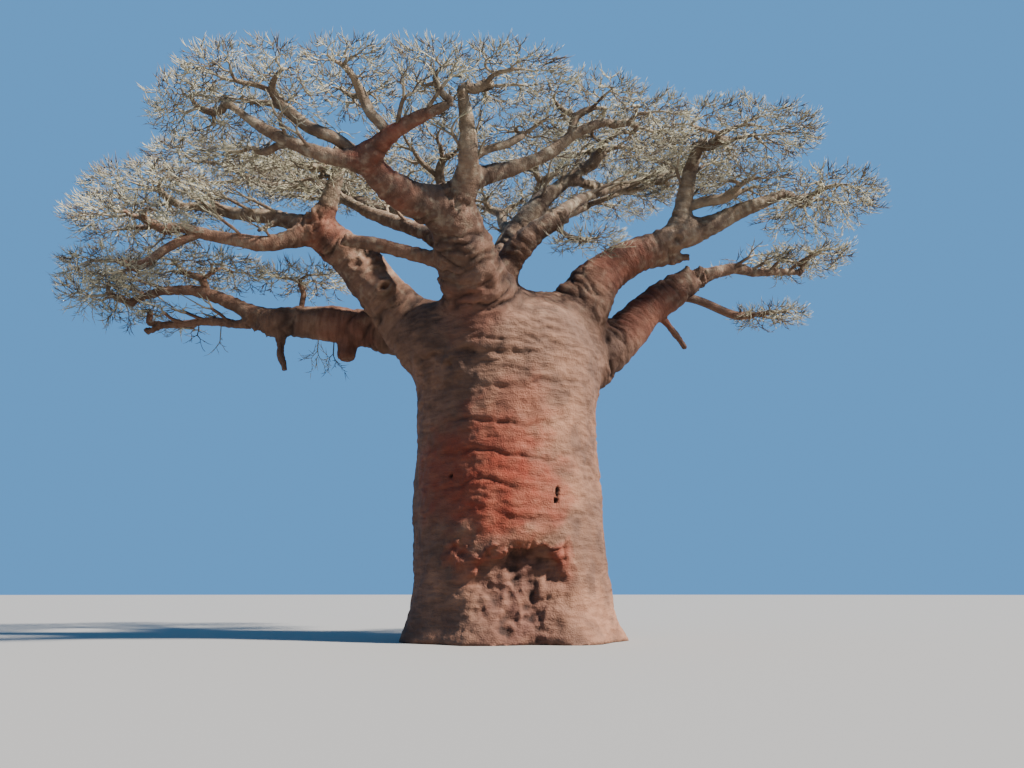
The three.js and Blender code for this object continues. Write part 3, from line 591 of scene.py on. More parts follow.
def add_trunk(body):
    def place(share, x, y):
        height = share * TRUNK_TOP
        side = math.degrees(math.atan2(y, x)) % 360
        over = max(0, (height - SHOULDER_HEIGHT) / SHOULDER_DROP)
        radius = trunk_girth(height, side) * math.sqrt(1 - over**SHOULDER_POWER)
        radius -= WORN_DEPTH * worn_away(height, side)
        return trunk_middle(height) + x * radius, y * radius, height

    bend_cylinder(body, TRUNK_SIDES, TRUNK_RINGS, place)


def add_limb(body, limb):
    curve, shares = smooth_curve(limb.points, FINE_STEP * 2)
    _, side, other = frames_along(curve)
    radii = limb_radius(limb, shares)
    last = len(curve) - 1

    def place(share, x, y):
        i = round(share * last)
        return curve[i] + (side[i] * x + other[i] * y) * radii[i]

    bend_cylinder(body, LIMB_SIDES, last, place)


# One closed skin round everything in the bmesh, as a new bmesh.
def skin_of(body, voxel):
    bmesh.ops.recalc_face_normals(body, faces=body.faces)
    data = bpy.data.meshes.new("body")
    body.to_mesh(data)
    body.free()
    shape = bpy.data.objects.new("body", data)
    bpy.context.scene.collection.objects.link(shape)
    remesh = shape.modifiers.new("skin", "REMESH")
    remesh.mode = "VOXEL"
    remesh.voxel_size = voxel
    skinned = shape.evaluated_get(bpy.context.evaluated_depsgraph_get())
    skin = bmesh.new()
    skin.from_mesh(skinned.to_mesh())
    bpy.data.objects.remove(shape)
    return skin


# The distance from each point to a limb's bark, and the number of the nearest place on its curve.
def limb_distance(limb, points):
    curve, shares = smooth_curve(limb.points, FINE_STEP)
    radii = limb_radius(limb, shares)
    best = np.full(len(points), FAR)
    nearest = np.zeros(len(points), int)
    reach = radii.max() + NEAR_BARK
    inside = np.all((points > curve.min(0) - reach) & (points < curve.max(0) + reach), axis=1)
    some = points[inside]
    if len(some):
        close = np.full(len(some), FAR)
        index = np.zeros(len(some), int)
        for i, (spot, radius) in enumerate(zip(curve, radii)):
            gap = np.sqrt(((some - spot) ** 2).sum(1)) - radius
            nearer = gap < close
            close[nearer] = gap[nearer]
            index[nearer] = i
        best[inside] = close
        nearest[inside] = index
    return best, nearest


# The distance from each point to the trunk's bark.
def trunk_distance(points):
    out, side = round_trunk(points)
    girth = trunk_girth(points[:, 2], side)
    over = np.maximum(0, (points[:, 2] - SHOULDER_HEIGHT) / SHOULDER_DROP)
    level = (out / girth) ** 2 + over**SHOULDER_POWER - 1
    slope = np.hypot(2 * out / girth**2, SHOULDER_POWER * over ** (SHOULDER_POWER - 1) / SHOULDER_DROP)
    return level / slope


# Which of the trunk, boughs and limbs each point belongs to, and how clearly.
def owners_of(points, limbs, stubs):
    gaps = [trunk_distance(points)]
    for name, limb in limbs.items():
        gap = limb_distance(limb, points)[0]
        for stub in stubs:
            if stub.name == name:
                gap = np.minimum(gap, limb_distance(stub, points)[0])
        gaps.append(gap)
    gaps = np.array(gaps)
    order = np.sort(gaps, axis=0)
    return gaps.argmin(0), order[1] - order[0]


def points_of(body):
    return np.array([vert.co for vert in body.verts])


# Smooths a skin a number of times, near its crotches only.
def round_crotches(skin, limbs, stubs, reach, times):
    clear = owners_of(points_of(skin), limbs, stubs)[1]
    near = [vert for vert, gap in zip(skin.verts, clear) if gap < reach]
    for _ in range(times):
        bmesh.ops.smooth_vert(skin, verts=near, factor=0.5, use_axis_x=True, use_axis_y=True, use_axis_z=True)


# Noise with fine grain on coarse, from about -1 to 1, at a size in metres along each axis.
def rough(points, size, seed, octaves):
    spots = points / np.array(size) + seed * SEED_SHIFT
    return np.array([noise.fractal(spot, NOISE_FADE, NOISE_FINER, octaves) for spot in spots.tolist()])


# Sharp ridges, from 0 to 1.
def ridges(points, size, seed):
    spots = points / np.array(size) + seed * SEED_SHIFT
    return np.array([1 - abs(noise.noise(spot)) for spot in spots.tolist()]) ** 3


def smooth_step(low, high, value):
    t = np.clip((value - low) / (high - low), 0, 1)
    return t * t * (3 - 2 * t)


# The bark's form and its lines, in metres outwards, for the points of one limb or the trunk. The third axis
# of local is the limb's own way. The lines run round it, and are deepest in patches and near its forks.
def relief(points, local, radius, clear, folded):
    big = np.minimum(1, SLENDER + radius)
    lumps = rough(points, *LUMPS) * LUMP_HEIGHT * big
    dents = rough(points, *DENTS) * DENT_HEIGHT * np.maximum(big, DENTS_LEAST)
    grain = rough(points, *GRAIN) * GRAIN_HEIGHT
    bent = local + LINE_BEND * rough(points, *BENDS)[:, None] * BEND_SHARES
    near_fork = folded * smooth_step(*FORK_REACH, clear)
    patch = smooth_step(*PATCH_EDGE, rough(points, *PATCHES))
    anywhere, in_patch, at_fork = WRINKLED
    wrinkles = rough(bent, *WRINKLES) * (anywhere + in_patch * patch + at_fork * near_fork)
    in_patch, at_fork = CUT_DEEP
    cuts = ridges(bent, *CUTS) ** 2 * (in_patch * patch + at_fork * near_fork)
    return lumps + dents + grain, (wrinkles - cuts) * big * smooth_step(*SEAM, clear)


def knots(points):
    out = np.zeros(len(points))
    for place, wide, proud, deep in KNOTS:
        middle = points[((points - place) ** 2).sum(1).argmin()]
        gap = np.sqrt(((points - middle) ** 2).sum(1)) / wide
        near = gap < KNOT_REACH
        gap = gap[near] + KNOT_UNEVEN * rough(points[near] / wide, *KNOT_FORM)
        out[near] += proud * bump((gap - KNOT_RIM) / RIM_WIDE) - deep * bump(gap / KNOT_HOLE)
    return out


def trunk_creases(points):
    side = round_trunk(points)[1]
    wander = rough(points, *CREASE_PATHS) * CREASE_STRAY
    out = np.zeros(len(points))
    for height, facing, spread, deep in CREASES:
        over = points[:, 2] + wander - height
        line = bump(over / CREASE_WIDE)
        fold = bump((over - FOLD_ABOVE) / FOLD_WIDE)
        out += (FOLD_HEIGHT * deep * fold - deep * line) * bump(apart(side, facing) / spread)
    return out


# The worn foot: how torn each point is, and its steep ribs and pits with the lip of bark over them.
def torn_wood(points):
    side = round_trunk(points)[1]
    torn = np.array([worn_away(h, s) for h, s in zip(points[:, 2].tolist(), side.tolist())])
    ribs = ridges(points, *RIBS) * RIB_HEIGHT + rough(points, *PITS) * PIT_HEIGHT
    upper = smooth_step(*LIP_FROM, points[:, 2])
    lip = bump((torn - LIP_AT) / LIP_WIDE) * upper * (torn > TORN_LEAST[0])
    lip *= LIP_HEIGHT + LIP_UNEVEN * rough(points, *LIP)
    return torn, torn * (ribs - TORN_SUNK) + lip


# A ragged break at the end of a broken limb or stub.
def ragged(points, along, last):
    return np.where(along > last - BREAK_LENGTH, rough(points, *SPIKES) * SPIKE_HEIGHT, 0)


# Closes a piece of skin where it was cut from its neighbours: its rim is turned inwards and capped there.
# Gives the number of the point that each new one was made from.
def close_up(data, normals):
    count = len(data.vertices)
    body = bmesh.new()
    body.from_mesh(data)
    rim = [edge for edge in body.edges if edge.is_boundary]
    made = bmesh.ops.extrude_edge_only(body, edges=rim)["geom"]
    body.verts.index_update()
    sources = np.zeros(len(body.verts) - count, int)
    for vert in made:
        if isinstance(vert, bmesh.types.BMVert):
            near = (edge.other_vert(vert) for edge in vert.link_edges)
            source = next(other for other in near if other.index < count)
            sources[vert.index - count] = source.index
            vert.co = np.array(source.co) - normals[source.index] * RIM_DEPTH
    bmesh.ops.holes_fill(body, edges=[edge for edge in body.edges if edge.is_boundary], sides=0)
    body.to_mesh(data)
    body.free()
    return sources


# One skin round trunk, boughs, limbs and stubs, still without relief.
def make_skin(limbs, stubs):
    heavy = bmesh.new()
    add_trunk(heavy)
    for limb in limbs.values():
        if limb.thick >= HEAVY:
            add_limb(heavy, limb)
    body = skin_of(heavy, THICK_SKIN)
    round_crotches(body, limbs, stubs, THICK_FILLET, THICK_ROUNDS)
    for limb in [*limbs.values(), *stubs]:
        if limb.thick < HEAVY:
            add_limb(body, limb)
    skin = skin_of(body, THIN_SKIN)
    round_crotches(skin, limbs, stubs, THIN_FILLET, THIN_ROUNDS)
    whole = bpy.data.meshes.new("skin")
    skin.to_mesh(whole)
    skin.free()
    return whole


# The places or the normals of a mesh's points.
def vectors_of(data, what):
    vectors = np.empty(len(data.vertices) * 3)
    data.vertices.foreach_get(what, vectors)
    return vectors.reshape(-1, 3)


# For each point of the skin how far it moves outwards, how torn it is, the part of the move that makes lines,
# and its place along its limb.
def bark_relief(points, owner, clear, limbs):
    rise = np.zeros(len(points))
    torn = np.zeros(len(points))
    lines = np.zeros(len(points))
    course = points.copy()
    mine = owner == 0
    spots = points[mine]
    girth = np.full(len(spots), WAIST_RADIUS)
    rise[mine], lines[mine] = relief(spots, spots, girth, clear[mine], TRUNK_FOLDS)
    torn[mine], wood = torn_wood(spots)
    lines[mine] += trunk_creases(spots) * smooth_step(*SEAM, clear[mine]) + wood
    for k, limb in enumerate(limbs.values(), 1):
        mine = owner == k
        spots = points[mine]
        curve, shares = smooth_curve(limb.points, FINE_STEP)
        ways, side, other = frames_along(curve)
        index = limb_distance(limb, spots)[1]
        off = spots - curve[index]
        along = shares[index] * limb.length + (off * ways[index]).sum(1)
        local = np.stack(((off * side[index]).sum(1), (off * other[index]).sum(1), along), axis=1)
        course[mine] = local
        radius = limb_radius(limb, shares[index])
        rise[mine], lines[mine] = relief(spots, local, radius, clear[mine], LIMB_FOLDS)
        rise[mine] += ragged(spots, along, limb.length)
    lines += knots(points)
    return rise + lines, torn, lines, course


# How red the bark is at each point, from 0 to 1.
def redness(points, torn):
    red = np.zeros(len(points))
    stray = rough(points, *RED_EDGES)
    for place, reach, strong in RED_PLACES:
        gap = np.sqrt(((points - place) ** 2).sum(1)) / reach
        red = np.maximum(red, strong * smooth_step(*RED_FADE, gap + RED_STRAY * stray))
    middle, wide, strong = RED_LIP
    edge = bump((torn - middle) / wide) * (torn > TORN_LEAST[1]) * smooth_step(*RED_LIP_FROM, points[:, 2])
    return np.maximum(red, strong * edge)


# Gives the skin its relief, and cuts it into one piece for the trunk and for each bough and limb.
def make_bark(limbs, stubs, materials):
    whole = make_skin(limbs, stubs)
    points = vectors_of(whole, "co")
    owner, clear = owners_of(points, limbs, stubs)
    rise, torn, lines, course = bark_relief(points, owner, clear, limbs)
    foot = smooth_step(*FLAT_FOOT, points[:, 2])
    moved = points + vectors_of(whole, "normal") * (rise * foot)[:, None]
    moved[:, 2] = np.where(points[:, 2] < CUT_LEVEL, 0, np.maximum(0, moved[:, 2]))
    whole.vertices.foreach_set("co", moved.ravel())
    whole.update()
    normals = vectors_of(whole, "normal")
    marks = {"red": redness(points, torn), "torn": torn, "lines": lines}
    corners = np.empty(len(whole.loops), int)
    whole.loops.foreach_get("vertex_index", corners)
    faces = corners.reshape(-1, 4)
    for k, name in enumerate(["trunk", *limbs]):
        part = faces[owner[faces[:, 0]] == k]
        used, local = np.unique(part, return_inverse=True)
        data = bpy.data.meshes.new(name + "_bark")
        data.from_pydata(moved[used], [], local.reshape(-1, 4))
        used = np.concatenate((used, used[close_up(data, normals[used])]))
        for label, values in marks.items():
            layer = data.attributes.new(label, "FLOAT", "POINT")
            layer.data.foreach_set("value", values[used].astype(np.float32))
        layer = data.attributes.new("course", "FLOAT_VECTOR", "POINT")
        layer.data.foreach_set("vector", course[used].astype(np.float32).ravel())
        data.shade_smooth()
        data.normals_split_custom_set_from_vertices(normals[used])
        data.materials.append(materials["bark"])
        piece = bpy.data.objects.new(name + "_bark", data)
        bpy.context.scene.collection.objects.link(piece)
        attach(piece, "root")
        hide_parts(name)
    bpy.data.meshes.remove(whole)


# Twigs


def depth_into(mass, points):
    return np.sqrt((((points - mass.middle) / (np.array(mass.half) + SPACE_EDGE)) ** 2).sum(-1))


def in_own_space(mass, masses, points, crossing=0):
    depth = depth_into(mass, points) - crossing
    own = np.ones(depth.shape, bool)
    for other in masses:
        if other is not mass:
            own &= depth_into(other, points) > depth
    return own


# Where the coarse twigs of a mass end, spread evenly over a dome.
def tip_points(mass, random):
    tips = []
    for i in range(mass.tips):
        out = math.sqrt((i + 0.5) / mass.tips)
        turned = i * (math.pi * GOLDEN) + (next(random) - 0.5) * TIP_TURN
        high = math.sqrt(1 - out * out) * (TIP_LEAST + TIP_MORE * next(random))
        level = LOW_LEVEL * high if next(random) < LOW_TIPS else high
        tips.append((out * math.cos(turned), out * math.sin(turned), level))
    return np.array(tips) * mass.half + mass.middle


# Where fine twigs end, spread through a dome and most of all under its top.
def fine_points(middle, half, count, rng):
    number = np.arange(count) + 0.5
    out = np.sqrt(number / count)
    turned = number * math.pi * GOLDEN + rng.uniform(-FINE_TURN, FINE_TURN, count)
    dome = (1 - out**DOME_RIM) ** DOME_FLAT
    level = dome * (FINE_TOP - (FINE_TOP - FINE_LOW) * rng.random(count) ** DOME_CROWD)
    return np.stack((out * np.cos(turned), out * np.sin(turned), level), 1) * half + middle


# Splits tips in two across the way that they spread most, as seen from where the twig stands.
def split_tips(start, tips):
    middle = tips.mean(0)
    view = unit(middle - start)
    across = unit(np.cross(view, UP))
    over = np.cross(across, view)
    off = tips - middle
    axis = max((across, over), key=lambda way: ((off @ way) ** 2).sum())
    return np.argsort(tips @ axis, kind="stable")


# Twigs from one point to all its tips. Each tip of the source's rule has its own fine tips, to which the same
# rule goes on. A path is its points and how many fine tips it carries at each.
def branch_out(start, tips, sprays, path, paths):
    if len(tips) == 1:
        branch_fine(start, sprays[0], path, paths)
        return
    fork = start + (tips.mean(0) - start) * REACH_SHARE
    path["points"].append(fork)
    path["counts"].append(sum(len(spray) for spray in sprays))
    order = split_tips(fork, tips)
    half = (len(tips) + 1) // 2
    for part, first in ((order[:half], True), (order[half:], False)):
        some = [sprays[i] for i in part]
        count = sum(len(spray) for spray in some)
        follow = path if first else {"points": [fork], "counts": [count]}
        branch_out(fork, tips[part], some, follow, paths)


def branch_fine(start, tips, path, paths):
    middle = tips.mean(0)
    if len(tips) == 1:
        dip = start + (middle - start) * LAST_DIP
        dip[2] -= FINE_SAG * np.linalg.norm(middle - start)
        path["points"] += [dip, middle]
        path["counts"] += [1, 1]
        paths.append(path)
        return
    fork = start + (middle - start) * FINE_REACH
    path["points"].append(fork)
    path["counts"].append(len(tips))
    order = split_tips(fork, tips)
    half = (len(tips) + 1) // 2
    branch_fine(fork, tips[order[:half]], path, paths)
    branch_fine(fork, tips[order[half:]], {"points": [fork], "counts": [len(tips) - half]}, paths)


# Gives paths their thickness and makes them a little crooked. The same place always moves the same way, so
# that forks stay joined.
def finished(paths, thick, total, foot):
    slow, quick = STRAY_WAVES
    for path in paths:
        points = np.array(path["points"])
        free = smooth_step(STRAIGHT, FREE, np.linalg.norm(points - foot, axis=1))
        stray = np.sin(points[:, (1, 2, 0)] * slow) + np.sin(points[:, (2, 0, 1)] * quick + 1)
        path["points"] = points + stray * (CROOKED * free)[:, None]
        path["thick"] = thick
        path["total"] = total
    return paths


# The stem of a mass, from its limb towards the underside of its space.
def stem_points(mass, limb):
    start = point_at(limb.points, mass.share)
    way = unit(limb.points[-1] - limb.points[-2])
    under = np.array(mass.middle) - (0, 0, UNDERSIDE * mass.half[2])
    goal = start + (under - start) * mass.bare
    length = np.linalg.norm(goal - start)
    at_tip = mass.share == 1
    bend = (start + goal) / 2 + (way * STEM_AHEAD if at_tip else UP * STEM_UP) * length
    t = np.linspace(0, 1, max(3, round(length / STEM_STEP)))[:, None]
    curve = start * (1 - t) ** 2 + bend * 2 * t * (1 - t) + goal * t**2
    if at_tip:
        curve[0] = start - way * STEM_SUNK
    return list(curve)


# Which points are near enough to the solids' box.
def in_reach(points):
    low, high = np.array(cad_box[0]), np.array(cad_box[1])
    past = (high - low) * OVERREACH
    return np.all((points > low - past) & (points < high + past), axis=1)


# How near each point comes to the trunk or a limb.
def wood_gap(points, limbs, stubs):
    gaps = [trunk_distance(points)]
    gaps += [limb_distance(limb, points)[0] for limb in [*limbs.values(), *stubs]]
    return np.min(gaps, axis=0)


# A tube of triangles round a curve. Its foot is closed, and it runs out in a point at the end.
def tube(curve, radii, sides):
    _, side, other = frames_along(curve)
    turn = np.arange(sides) * 2 * math.pi / sides
    rings = curve[:-1, None] + radii[:-1, None, None] * (
        np.cos(turn)[None, :, None] * side[:-1, None] + np.sin(turn)[None, :, None] * other[:-1, None]
    )
    verts = np.vstack((rings.reshape(-1, 3), curve[-1:]))
    steps = len(curve) - 2
    k = np.arange(sides)
    low = (np.arange(steps)[:, None] * sides + k).ravel()
    low_next = (np.arange(steps)[:, None] * sides + (k + 1) % sides).ravel()
    walls = np.vstack((
        np.stack((low, low_next, low_next + sides), 1),
        np.stack((low, low_next + sides, low + sides), 1),
    ))
    end = steps * sides
    tip = np.stack((end + k, end + (k + 1) % sides, np.full(sides, end + sides)), 1)
    foot = np.array([(0, i + 2, i + 1) for i in range(sides - 2)])
    return verts, np.vstack((walls, tip, foot))


# A twiglet's triangles: between its two rings of three points, up to its tip, and across its foot.
TWIGLET_FACES = np.array([
    (0, 1, 4), (0, 4, 3), (1, 2, 5), (1, 5, 4), (2, 0, 3), (2, 3, 5),
    (3, 4, 6), (4, 5, 6), (5, 3, 6),
    (0, 2, 1),
])
TWIGLET_POINTS = 7


# Twiglets on the fine twigs: short shoots of two steps that turn up, all worked out at once.
def twiglets(starts, ways, rng):
    count = len(starts)
    turn = rng.random(count) * 2 * math.pi
    side = np.cross(ways, UP)
    side /= np.maximum(np.linalg.norm(side, axis=1), TINY)[:, None]
    other = np.cross(ways, side)
    lean = np.radians(rng.uniform(*TWIGLET_LEAN, count))[:, None]
    out = side * np.cos(turn)[:, None] + other * np.sin(turn)[:, None]
    way = ways * np.cos(lean) + out * np.sin(lean) + UP * TWIGLET_UPWARD
    way /= np.linalg.norm(way, axis=1)[:, None]
    long = rng.uniform(*TWIGLET_LENGTH, count)[:, None]
    bowed = way + UP * TWIGLET_BOW + rng.normal(0, TWIGLET_BOW_STRAY, (count, 3))
    bowed /= np.linalg.norm(bowed, axis=1)[:, None]
    bend = starts + way * long * 0.5
    tips = bend + bowed * long * 0.5
    across = np.cross(way, ANY_WAY)
    across /= np.linalg.norm(across, axis=1)[:, None]
    over = np.cross(way, across)
    verts = np.empty((count, TWIGLET_POINTS, 3))
    for k in range(3):
        spoke = across * math.cos(2 * math.pi * k / 3) + over * math.sin(2 * math.pi * k / 3)
        verts[:, k] = starts + spoke * TWIGLET_RADIUS
        verts[:, 3 + k] = bend + spoke * TWIGLET_RADIUS * TWIGLET_TAPER
    verts[:, 6] = tips
    return verts, TWIGLET_FACES + np.arange(count)[:, None, None] * TWIGLET_POINTS, tips


# A mesh from arrays of points, triangles and each triangle's material.
def mesh_from(name, verts, faces, slots):
    data = bpy.data.meshes.new(name)
    data.vertices.add(len(verts))
    data.vertices.foreach_set("co", verts.astype(np.float32).ravel())
    data.loops.add(faces.size)
    data.loops.foreach_set("vertex_index", faces.astype(np.int32).ravel())
    data.polygons.add(len(faces))
    data.polygons.foreach_set("loop_start", np.arange(0, faces.size, 3, dtype=np.int32))
    data.polygons.foreach_set("material_index", slots.astype(np.int32))
    data.update(calc_edges=True)
    data.shade_smooth()
    return data


# Small side branches of a limb, as bundles of fine twigs on a short stem each.
def side_branches(mass, masses, limb, limbs, stubs, rng):
    curve, shares = smooth_curve(limb.points, FINE_STEP)
    ways = frames_along(curve)[0]
    paths = []
    places = np.arange(SIDE_FROM + SIDE_STRAY * rng.random(), SIDE_TO, SIDE_STEP / limb.length)
    for number, share in enumerate(places):
        k = round(share * (len(curve) - 1))
        if 2 * limb_radius(limb, shares[k]) > SIDE_CARRIER:
            continue
        level = unit(np.cross(ways[k], UP) + TINY) * (1 if number % 2 else -1)
        out = level * rng.uniform(*SIDE_OUT) + UP * rng.uniform(*SIDE_UP)
        way = unit(ways[k] * SIDE_ALONG + out)
        length = rng.uniform(*SIDE_LENGTH)
        tips = fine_points(curve[k] + way * length, np.array(SIDE_HALF) * length, SIDE_TIPS, rng)
        others = np.min([depth_into(other, tips) for other in masses if other is not mass], axis=0)
        low = tips[:, 2] < mass.middle[2] + SIDE_TOP * mass.half[2]
        clear = wood_gap(tips, limbs, stubs) > SIDE_CLEARANCE
        tips = tips[(others > SIDE_FREE) & low & in_reach(tips) & clear]
        if len(tips) > SIDE_FEWEST:
            paths += bundle(curve[k], way, length * SIDE_STEM, tips, SIDE_THICK)
    return paths


# Thin twigs that hang from a limb.
def hanging_twigs(limb, share, drop, rng):
    start = point_at(limb.points, share)
    radius = limb_radius(limb, share)
    middle = start - (0, 0, radius + HANG_MIDDLE * drop)
    tips = middle + rng.normal(0, 1, (HANG_TIPS, 3)) * (*HANG_SPREAD, HANG_DEEP * drop)
    tips[:, 2] = np.minimum(tips[:, 2], start[2] - radius - HANG_GAP)
    return bundle(start, -UP, radius + HANG_STEM * drop, tips, HANG_THICK)


# Fine twigs to some tips, on a short stem that starts inside a limb.
def bundle(start, way, length, tips, thick):
    stem = [start, start + way * length * 0.5, start + way * length]
    path = {"points": stem, "counts": [len(tips)] * 3}
    paths = []
    branch_fine(stem[-1], tips, path, paths)
    return finished(paths, thick, len(tips), start)


# The paths of one mass: the source's own stem and forks, then finer twigs to fill the same space.
def mass_paths(mass, masses, limbs, stubs, seed, rng):
    coarse = tip_points(mass, seeded(seed))
    coarse = coarse[in_own_space(mass, masses, coarse)]
    count = int(TIPS_PER_AREA * mass.half[0] * mass.half[1])
    half = np.array(mass.half) + (FINE_SPREAD, FINE_SPREAD, 0)
    fine = fine_points(mass.middle, half, count, rng)
    fine = fine[in_own_space(mass, masses, fine, CROSSING / 2) & in_reach(fine)]
    fine = fine[wood_gap(fine, limbs, stubs) > CLEARANCE + TIP_CLEARANCE]
    nearest = ((fine[:, None] - coarse[None]) ** 2).sum(2).argmin(1)
    sprays = [np.vstack((fine[nearest == k], coarse[k:k + 1])) for k in range(len(coarse))]
    stem = stem_points(mass, limbs[mass.on])
    total = sum(len(spray) for spray in sprays)
    path = {"points": stem, "counts": [total] * len(stem), "stem": True}
    paths = []
    branch_out(stem[-1], coarse, sprays, path, paths)
    return finished(paths, mass.thick, total, stem[0])


# The tube of one path, and the number of each triangle's material: bark, branch or the tint of its spray.
def path_tube(path, tint):
    points = path["points"]
    counts = np.array(path["counts"], float)
    radii = np.maximum(THINNEST, path["thick"] / 2 * (counts / path["total"]) ** THINNING)
    sides = STEM_SIDES if "stem" in path else TWIG_SIDES if radii[0] > FOUR_SIDED else FINE_SIDES
    curve = points
    if radii[0] > SMOOTHED:
        places = np.linspace(0, 1, len(points))
        curve, shares = smooth_curve(points, SMOOTH_SHARE * np.linalg.norm(points[1] - points[0]))
        radii = np.interp(shares, places, radii)
    verts, faces = tube(curve, radii, sides)
    thick = radii[np.minimum(faces[:, 0] // sides, len(radii) - 2)]
    return verts, faces, np.where(thick > BARK_FROM, 0, np.where(thick > BRANCH_FROM, 1, tint))


# Where twiglets stand on a path, and which way it runs there: along its thin stretches, and at its end.
def twiglet_places(path, rng):
    points = path["points"]
    starts, ways = [], []
    for a, b, carried in zip(points[:-1], points[1:], path["counts"][1:]):
        if carried > BARE_FROM:
            continue
        length = np.linalg.norm(b - a)
        for s in np.arange(rng.random(), length / TWIGLET_STEP):
            starts.append(a + (b - a) * s * TWIGLET_STEP / length)
            ways.append((b - a) / length)
    last = unit(points[-1] - points[-2])
    starts.append(points[-1] - last * TWIGLET_SUNK)
    ways.append(last)
    return starts, ways


# One mass of twigs, with the side branches of the limb that it tips.
def make_mass(mass, masses, limbs, stubs, seed, materials):
    rng = np.random.default_rng(seed)
    paths = mass_paths(mass, masses, limbs, stubs, seed, rng)
    if mass.share == 1:
        paths += side_branches(mass, masses, limbs[mass.on], limbs, stubs, rng)
    for name, on, share, drop in HANGING:
        if name == mass.name:
            paths += hanging_twigs(limbs[on], share, drop, rng)

    all_verts, all_faces, all_slots = [], [], []
    starts, ways, tints = [], [], []
    offset = 0
    for number, path in enumerate(paths):
        tint = len(SPRAY_MATERIALS) - TINTS + number // SPRAY_PATHS % TINTS
        verts, faces, slots = path_tube(path, tint)
        all_verts.append(verts)
        all_faces.append(faces + offset)
        all_slots.append(slots)
        offset += len(verts)
        here, along = twiglet_places(path, rng)
        starts += here
        ways += along
        tints += [tint] * len(here)
    verts, faces, tips = twiglets(np.array(starts), np.array(ways), rng)
    kept = in_own_space(mass, masses, tips, CROSSING) & in_reach(tips)
    kept &= wood_gap(tips, limbs, stubs) > CLEARANCE
    all_verts.append(verts[kept].reshape(-1, 3))
    all_faces.append(faces[:kept.sum()].reshape(-1, 3) + offset)
    all_slots.append(np.repeat(np.array(tints)[kept], faces.shape[1]))
    arrays = (np.concatenate(some) for some in (all_verts, all_faces, all_slots))
    data = mesh_from(mass.name + "_spray", *arrays)
    for name in SPRAY_MATERIALS:
        data.materials.append(materials[name])
    piece = bpy.data.objects.new(mass.name + "_spray", data)
    bpy.context.scene.collection.objects.link(piece)
    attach(piece, "root")
    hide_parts(mass.name)


# Materials


# Adds a shader node. Inputs are given by their names in lower case with _ for blanks, as values or sockets.
def add_node(tree, kind, **values):
    made = tree.nodes.new("ShaderNode" + kind)
    for key, value in values.items():
        sockets = [s for s in made.inputs if s.name.lower().replace(" ", "_") == key and s.enabled]
        if not sockets:
            setattr(made, key, value)
        elif isinstance(value, bpy.types.NodeSocket):
            tree.links.new(value, sockets[0])
        else:
            sockets[0].default_value = value
    return made


def mixed(tree, factor, one, two, way="MIX"):
    mix = tree.nodes.new("ShaderNodeMix")
    mix.data_type = "RGBA"
    mix.blend_type = way
    for socket, value in ((mix.inputs[0], factor), (mix.inputs[6], one), (mix.inputs[7], two)):
        if isinstance(value, bpy.types.NodeSocket):
            tree.links.new(value, socket)
        else:
            socket.default_value = value
    return mix.outputs[2]


# A value stretched from low..high to 0..1.
def ranged(tree, value, low, high):
    return add_node(tree, "MapRange", value=value, from_min=low, from_max=high).outputs["Result"]


# A pattern of noise from 0 to 1 on some coordinates, stretched along each axis.
def pattern(tree, place, scale, detail, low, high, stretch=(1, 1, 1)):
    turned = add_node(tree, "Mapping", vector=place, scale=stretch)
    spots = add_node(tree, "TexNoise", vector=turned.outputs[0], scale=scale, detail=detail)
    return ranged(tree, spots.outputs["Fac"], low, high)


def start_material(name, roughness):
    material = bpy.data.materials.new(name)
    material.use_nodes = True
    shader = material.node_tree.nodes["Principled BSDF"]
    shader.inputs["Roughness"].default_value = roughness
    shader.inputs["Specular IOR Level"].default_value = GLOSS
    return material, material.node_tree, shader
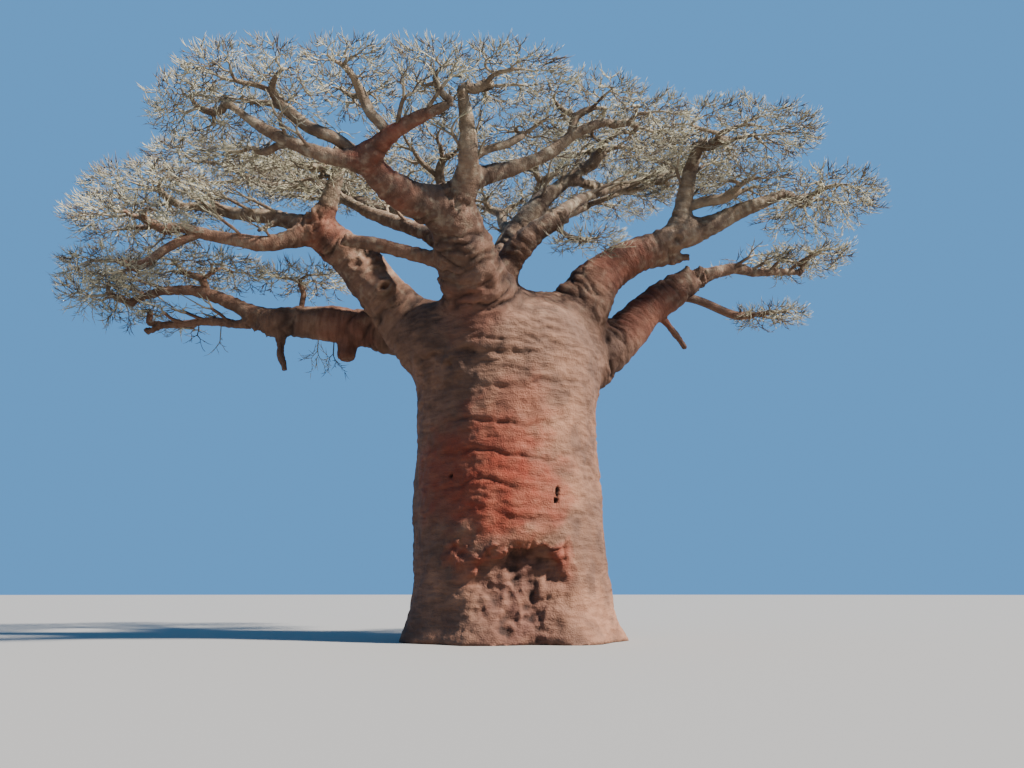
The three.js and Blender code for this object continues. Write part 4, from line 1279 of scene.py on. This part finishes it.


# Bark with patches, fine lines round the limb, lichen, red places and torn wood, with painted shade in the
# grooves of those lines and in the relief's creases, cuts and hollows.
def bark_material():
    material, tree, shader = start_material("bark", BARK_ROUGH)
    place = add_node(tree, "TexCoord").outputs["Object"]
    course = add_node(tree, "Attribute", attribute_name="course").outputs["Vector"]
    red, torn, lines = (
        add_node(tree, "Attribute", attribute_name=name).outputs["Fac"] for name in ("red", "torn", "lines")
    )
    broad, mottle, blots, spots, fine = (
        pattern(tree, place, *values) for values in (BROAD, MOTTLE, BLOTS, SPOTS, FINE)
    )
    bands = pattern(tree, course, *BANDS, BAND_STRETCH)
    height = add_node(tree, "SeparateXYZ", vector=place).outputs["Z"]

    light = mixed(tree, ranged(tree, height, TRUNK_TONE, LIMB_TONE), PINK_BEIGE, LIMB_BEIGE)
    light = mixed(tree, ranged(tree, height, LOW_CROWN, CROWN), light, CROWN_BARK)
    colour = mixed(tree, broad, mixed(tree, DULL, light, GREY_BROWN), light)
    colour = mixed(tree, blots, colour, mixed(tree, BLOTTED, colour, GREY_BROWN))
    colour = mixed(tree, mottle, mixed(tree, MOTTLED, colour, GREY_BROWN), colour)
    lichen = add_node(tree, "MapRange", value=height, from_min=LIMB_TONE, from_max=CROWN, to_max=LICHEN_MOST)
    lichen = mixed(tree, lichen.outputs["Result"], colour, LICHEN)
    colour = mixed(tree, spots, colour, lichen)
    colour = mixed(tree, red, colour, mixed(tree, mottle, RED_BARK, mixed(tree, RED_PALE, RED_BARK, light)))
    colour = mixed(tree, torn, colour, mixed(tree, mottle, TORN, mixed(tree, TORN_PALE, TORN, light)))
    # Painted shade in the grooves of the bands, which their bump lowers.
    colour = mixed(tree, 1.0, colour, mixed(tree, bands, BAND_GROOVE_SHADE, WHITE), "MULTIPLY")
    # Painted shade: the deeper the relief's lines, creases, knot holes and torn pits, the darker the bark.
    deep = ranged(tree, lines, LINES_FROM, LINES_FULL)
    colour = mixed(tree, deep, colour, mixed(tree, LINE_SHADE_SHARE, colour, LINE_SHADE))
    tree.links.new(colour, shader.inputs["Base Color"])

    strength, distance = BAND_BUMP
    bumps = add_node(tree, "Bump", strength=strength, distance=distance, height=bands)
    strength, distance = FINE_BUMP
    bumps = add_node(tree, "Bump", strength=strength, distance=distance, height=fine, normal=bumps.outputs[0])
    tree.links.new(bumps.outputs[0], shader.inputs["Normal"])
    return material


def plain_material(name, colour):
    material, _, shader = start_material(name, TWIG_ROUGH)
    shader.inputs["Base Color"].default_value = colour
    return material


def make_materials():
    materials = {"bark": bark_material()}
    for use, (name, colour) in PLAIN_TONES.items():
        materials[use] = plain_material(name, colour)
    return materials


# Stage


def make_camera():
    data = bpy.data.cameras.new("camera")
    data.lens = LENS
    data.clip_end = VIEW_END
    camera = bpy.data.objects.new("camera", data)
    camera.location = CAMERA_PLACE
    camera.rotation_euler = (math.radians(90 + CAMERA_PITCH), 0, 0)
    bpy.context.scene.collection.objects.link(camera)
    bpy.context.scene.camera = camera


def make_stage(materials):
    body = bmesh.new()
    bmesh.ops.create_circle(body, cap_ends=True, segments=FLOOR_SIDES, radius=FLOOR_RADIUS)
    data = bpy.data.meshes.new("floor")
    body.to_mesh(data)
    body.free()
    data.materials.append(materials["floor"])
    floor = bpy.data.objects.new("floor", data)
    bpy.context.scene.collection.objects.link(floor)
    sun = bpy.data.lights.new("key", "SUN")
    sun.energy = SUN_STRENGTH
    sun.angle = math.radians(SUN_WIDE)
    sun.color = SUN_COLOUR
    key = bpy.data.objects.new("key", sun)
    key.rotation_euler = (math.radians(SUN_LOW), 0, math.radians(SUN_SIDE))
    bpy.context.scene.collection.objects.link(key)
    world = bpy.data.worlds.new("sky")
    world.use_nodes = True
    sky = world.node_tree.nodes["Background"]
    sky.inputs["Color"].default_value = SKY_COLOUR
    sky.inputs["Strength"].default_value = SKY_STRENGTH
    bpy.context.scene.world = world


make_camera()
materials = make_materials()
limbs, stubs = grow_limbs()
make_bark(limbs, stubs, materials)
masses = [Mass(*row) for row in MASSES]
for i, mass in enumerate(masses):
    make_mass(mass, masses, limbs, stubs, MASS_SEED + i, materials)
make_stage(materials)
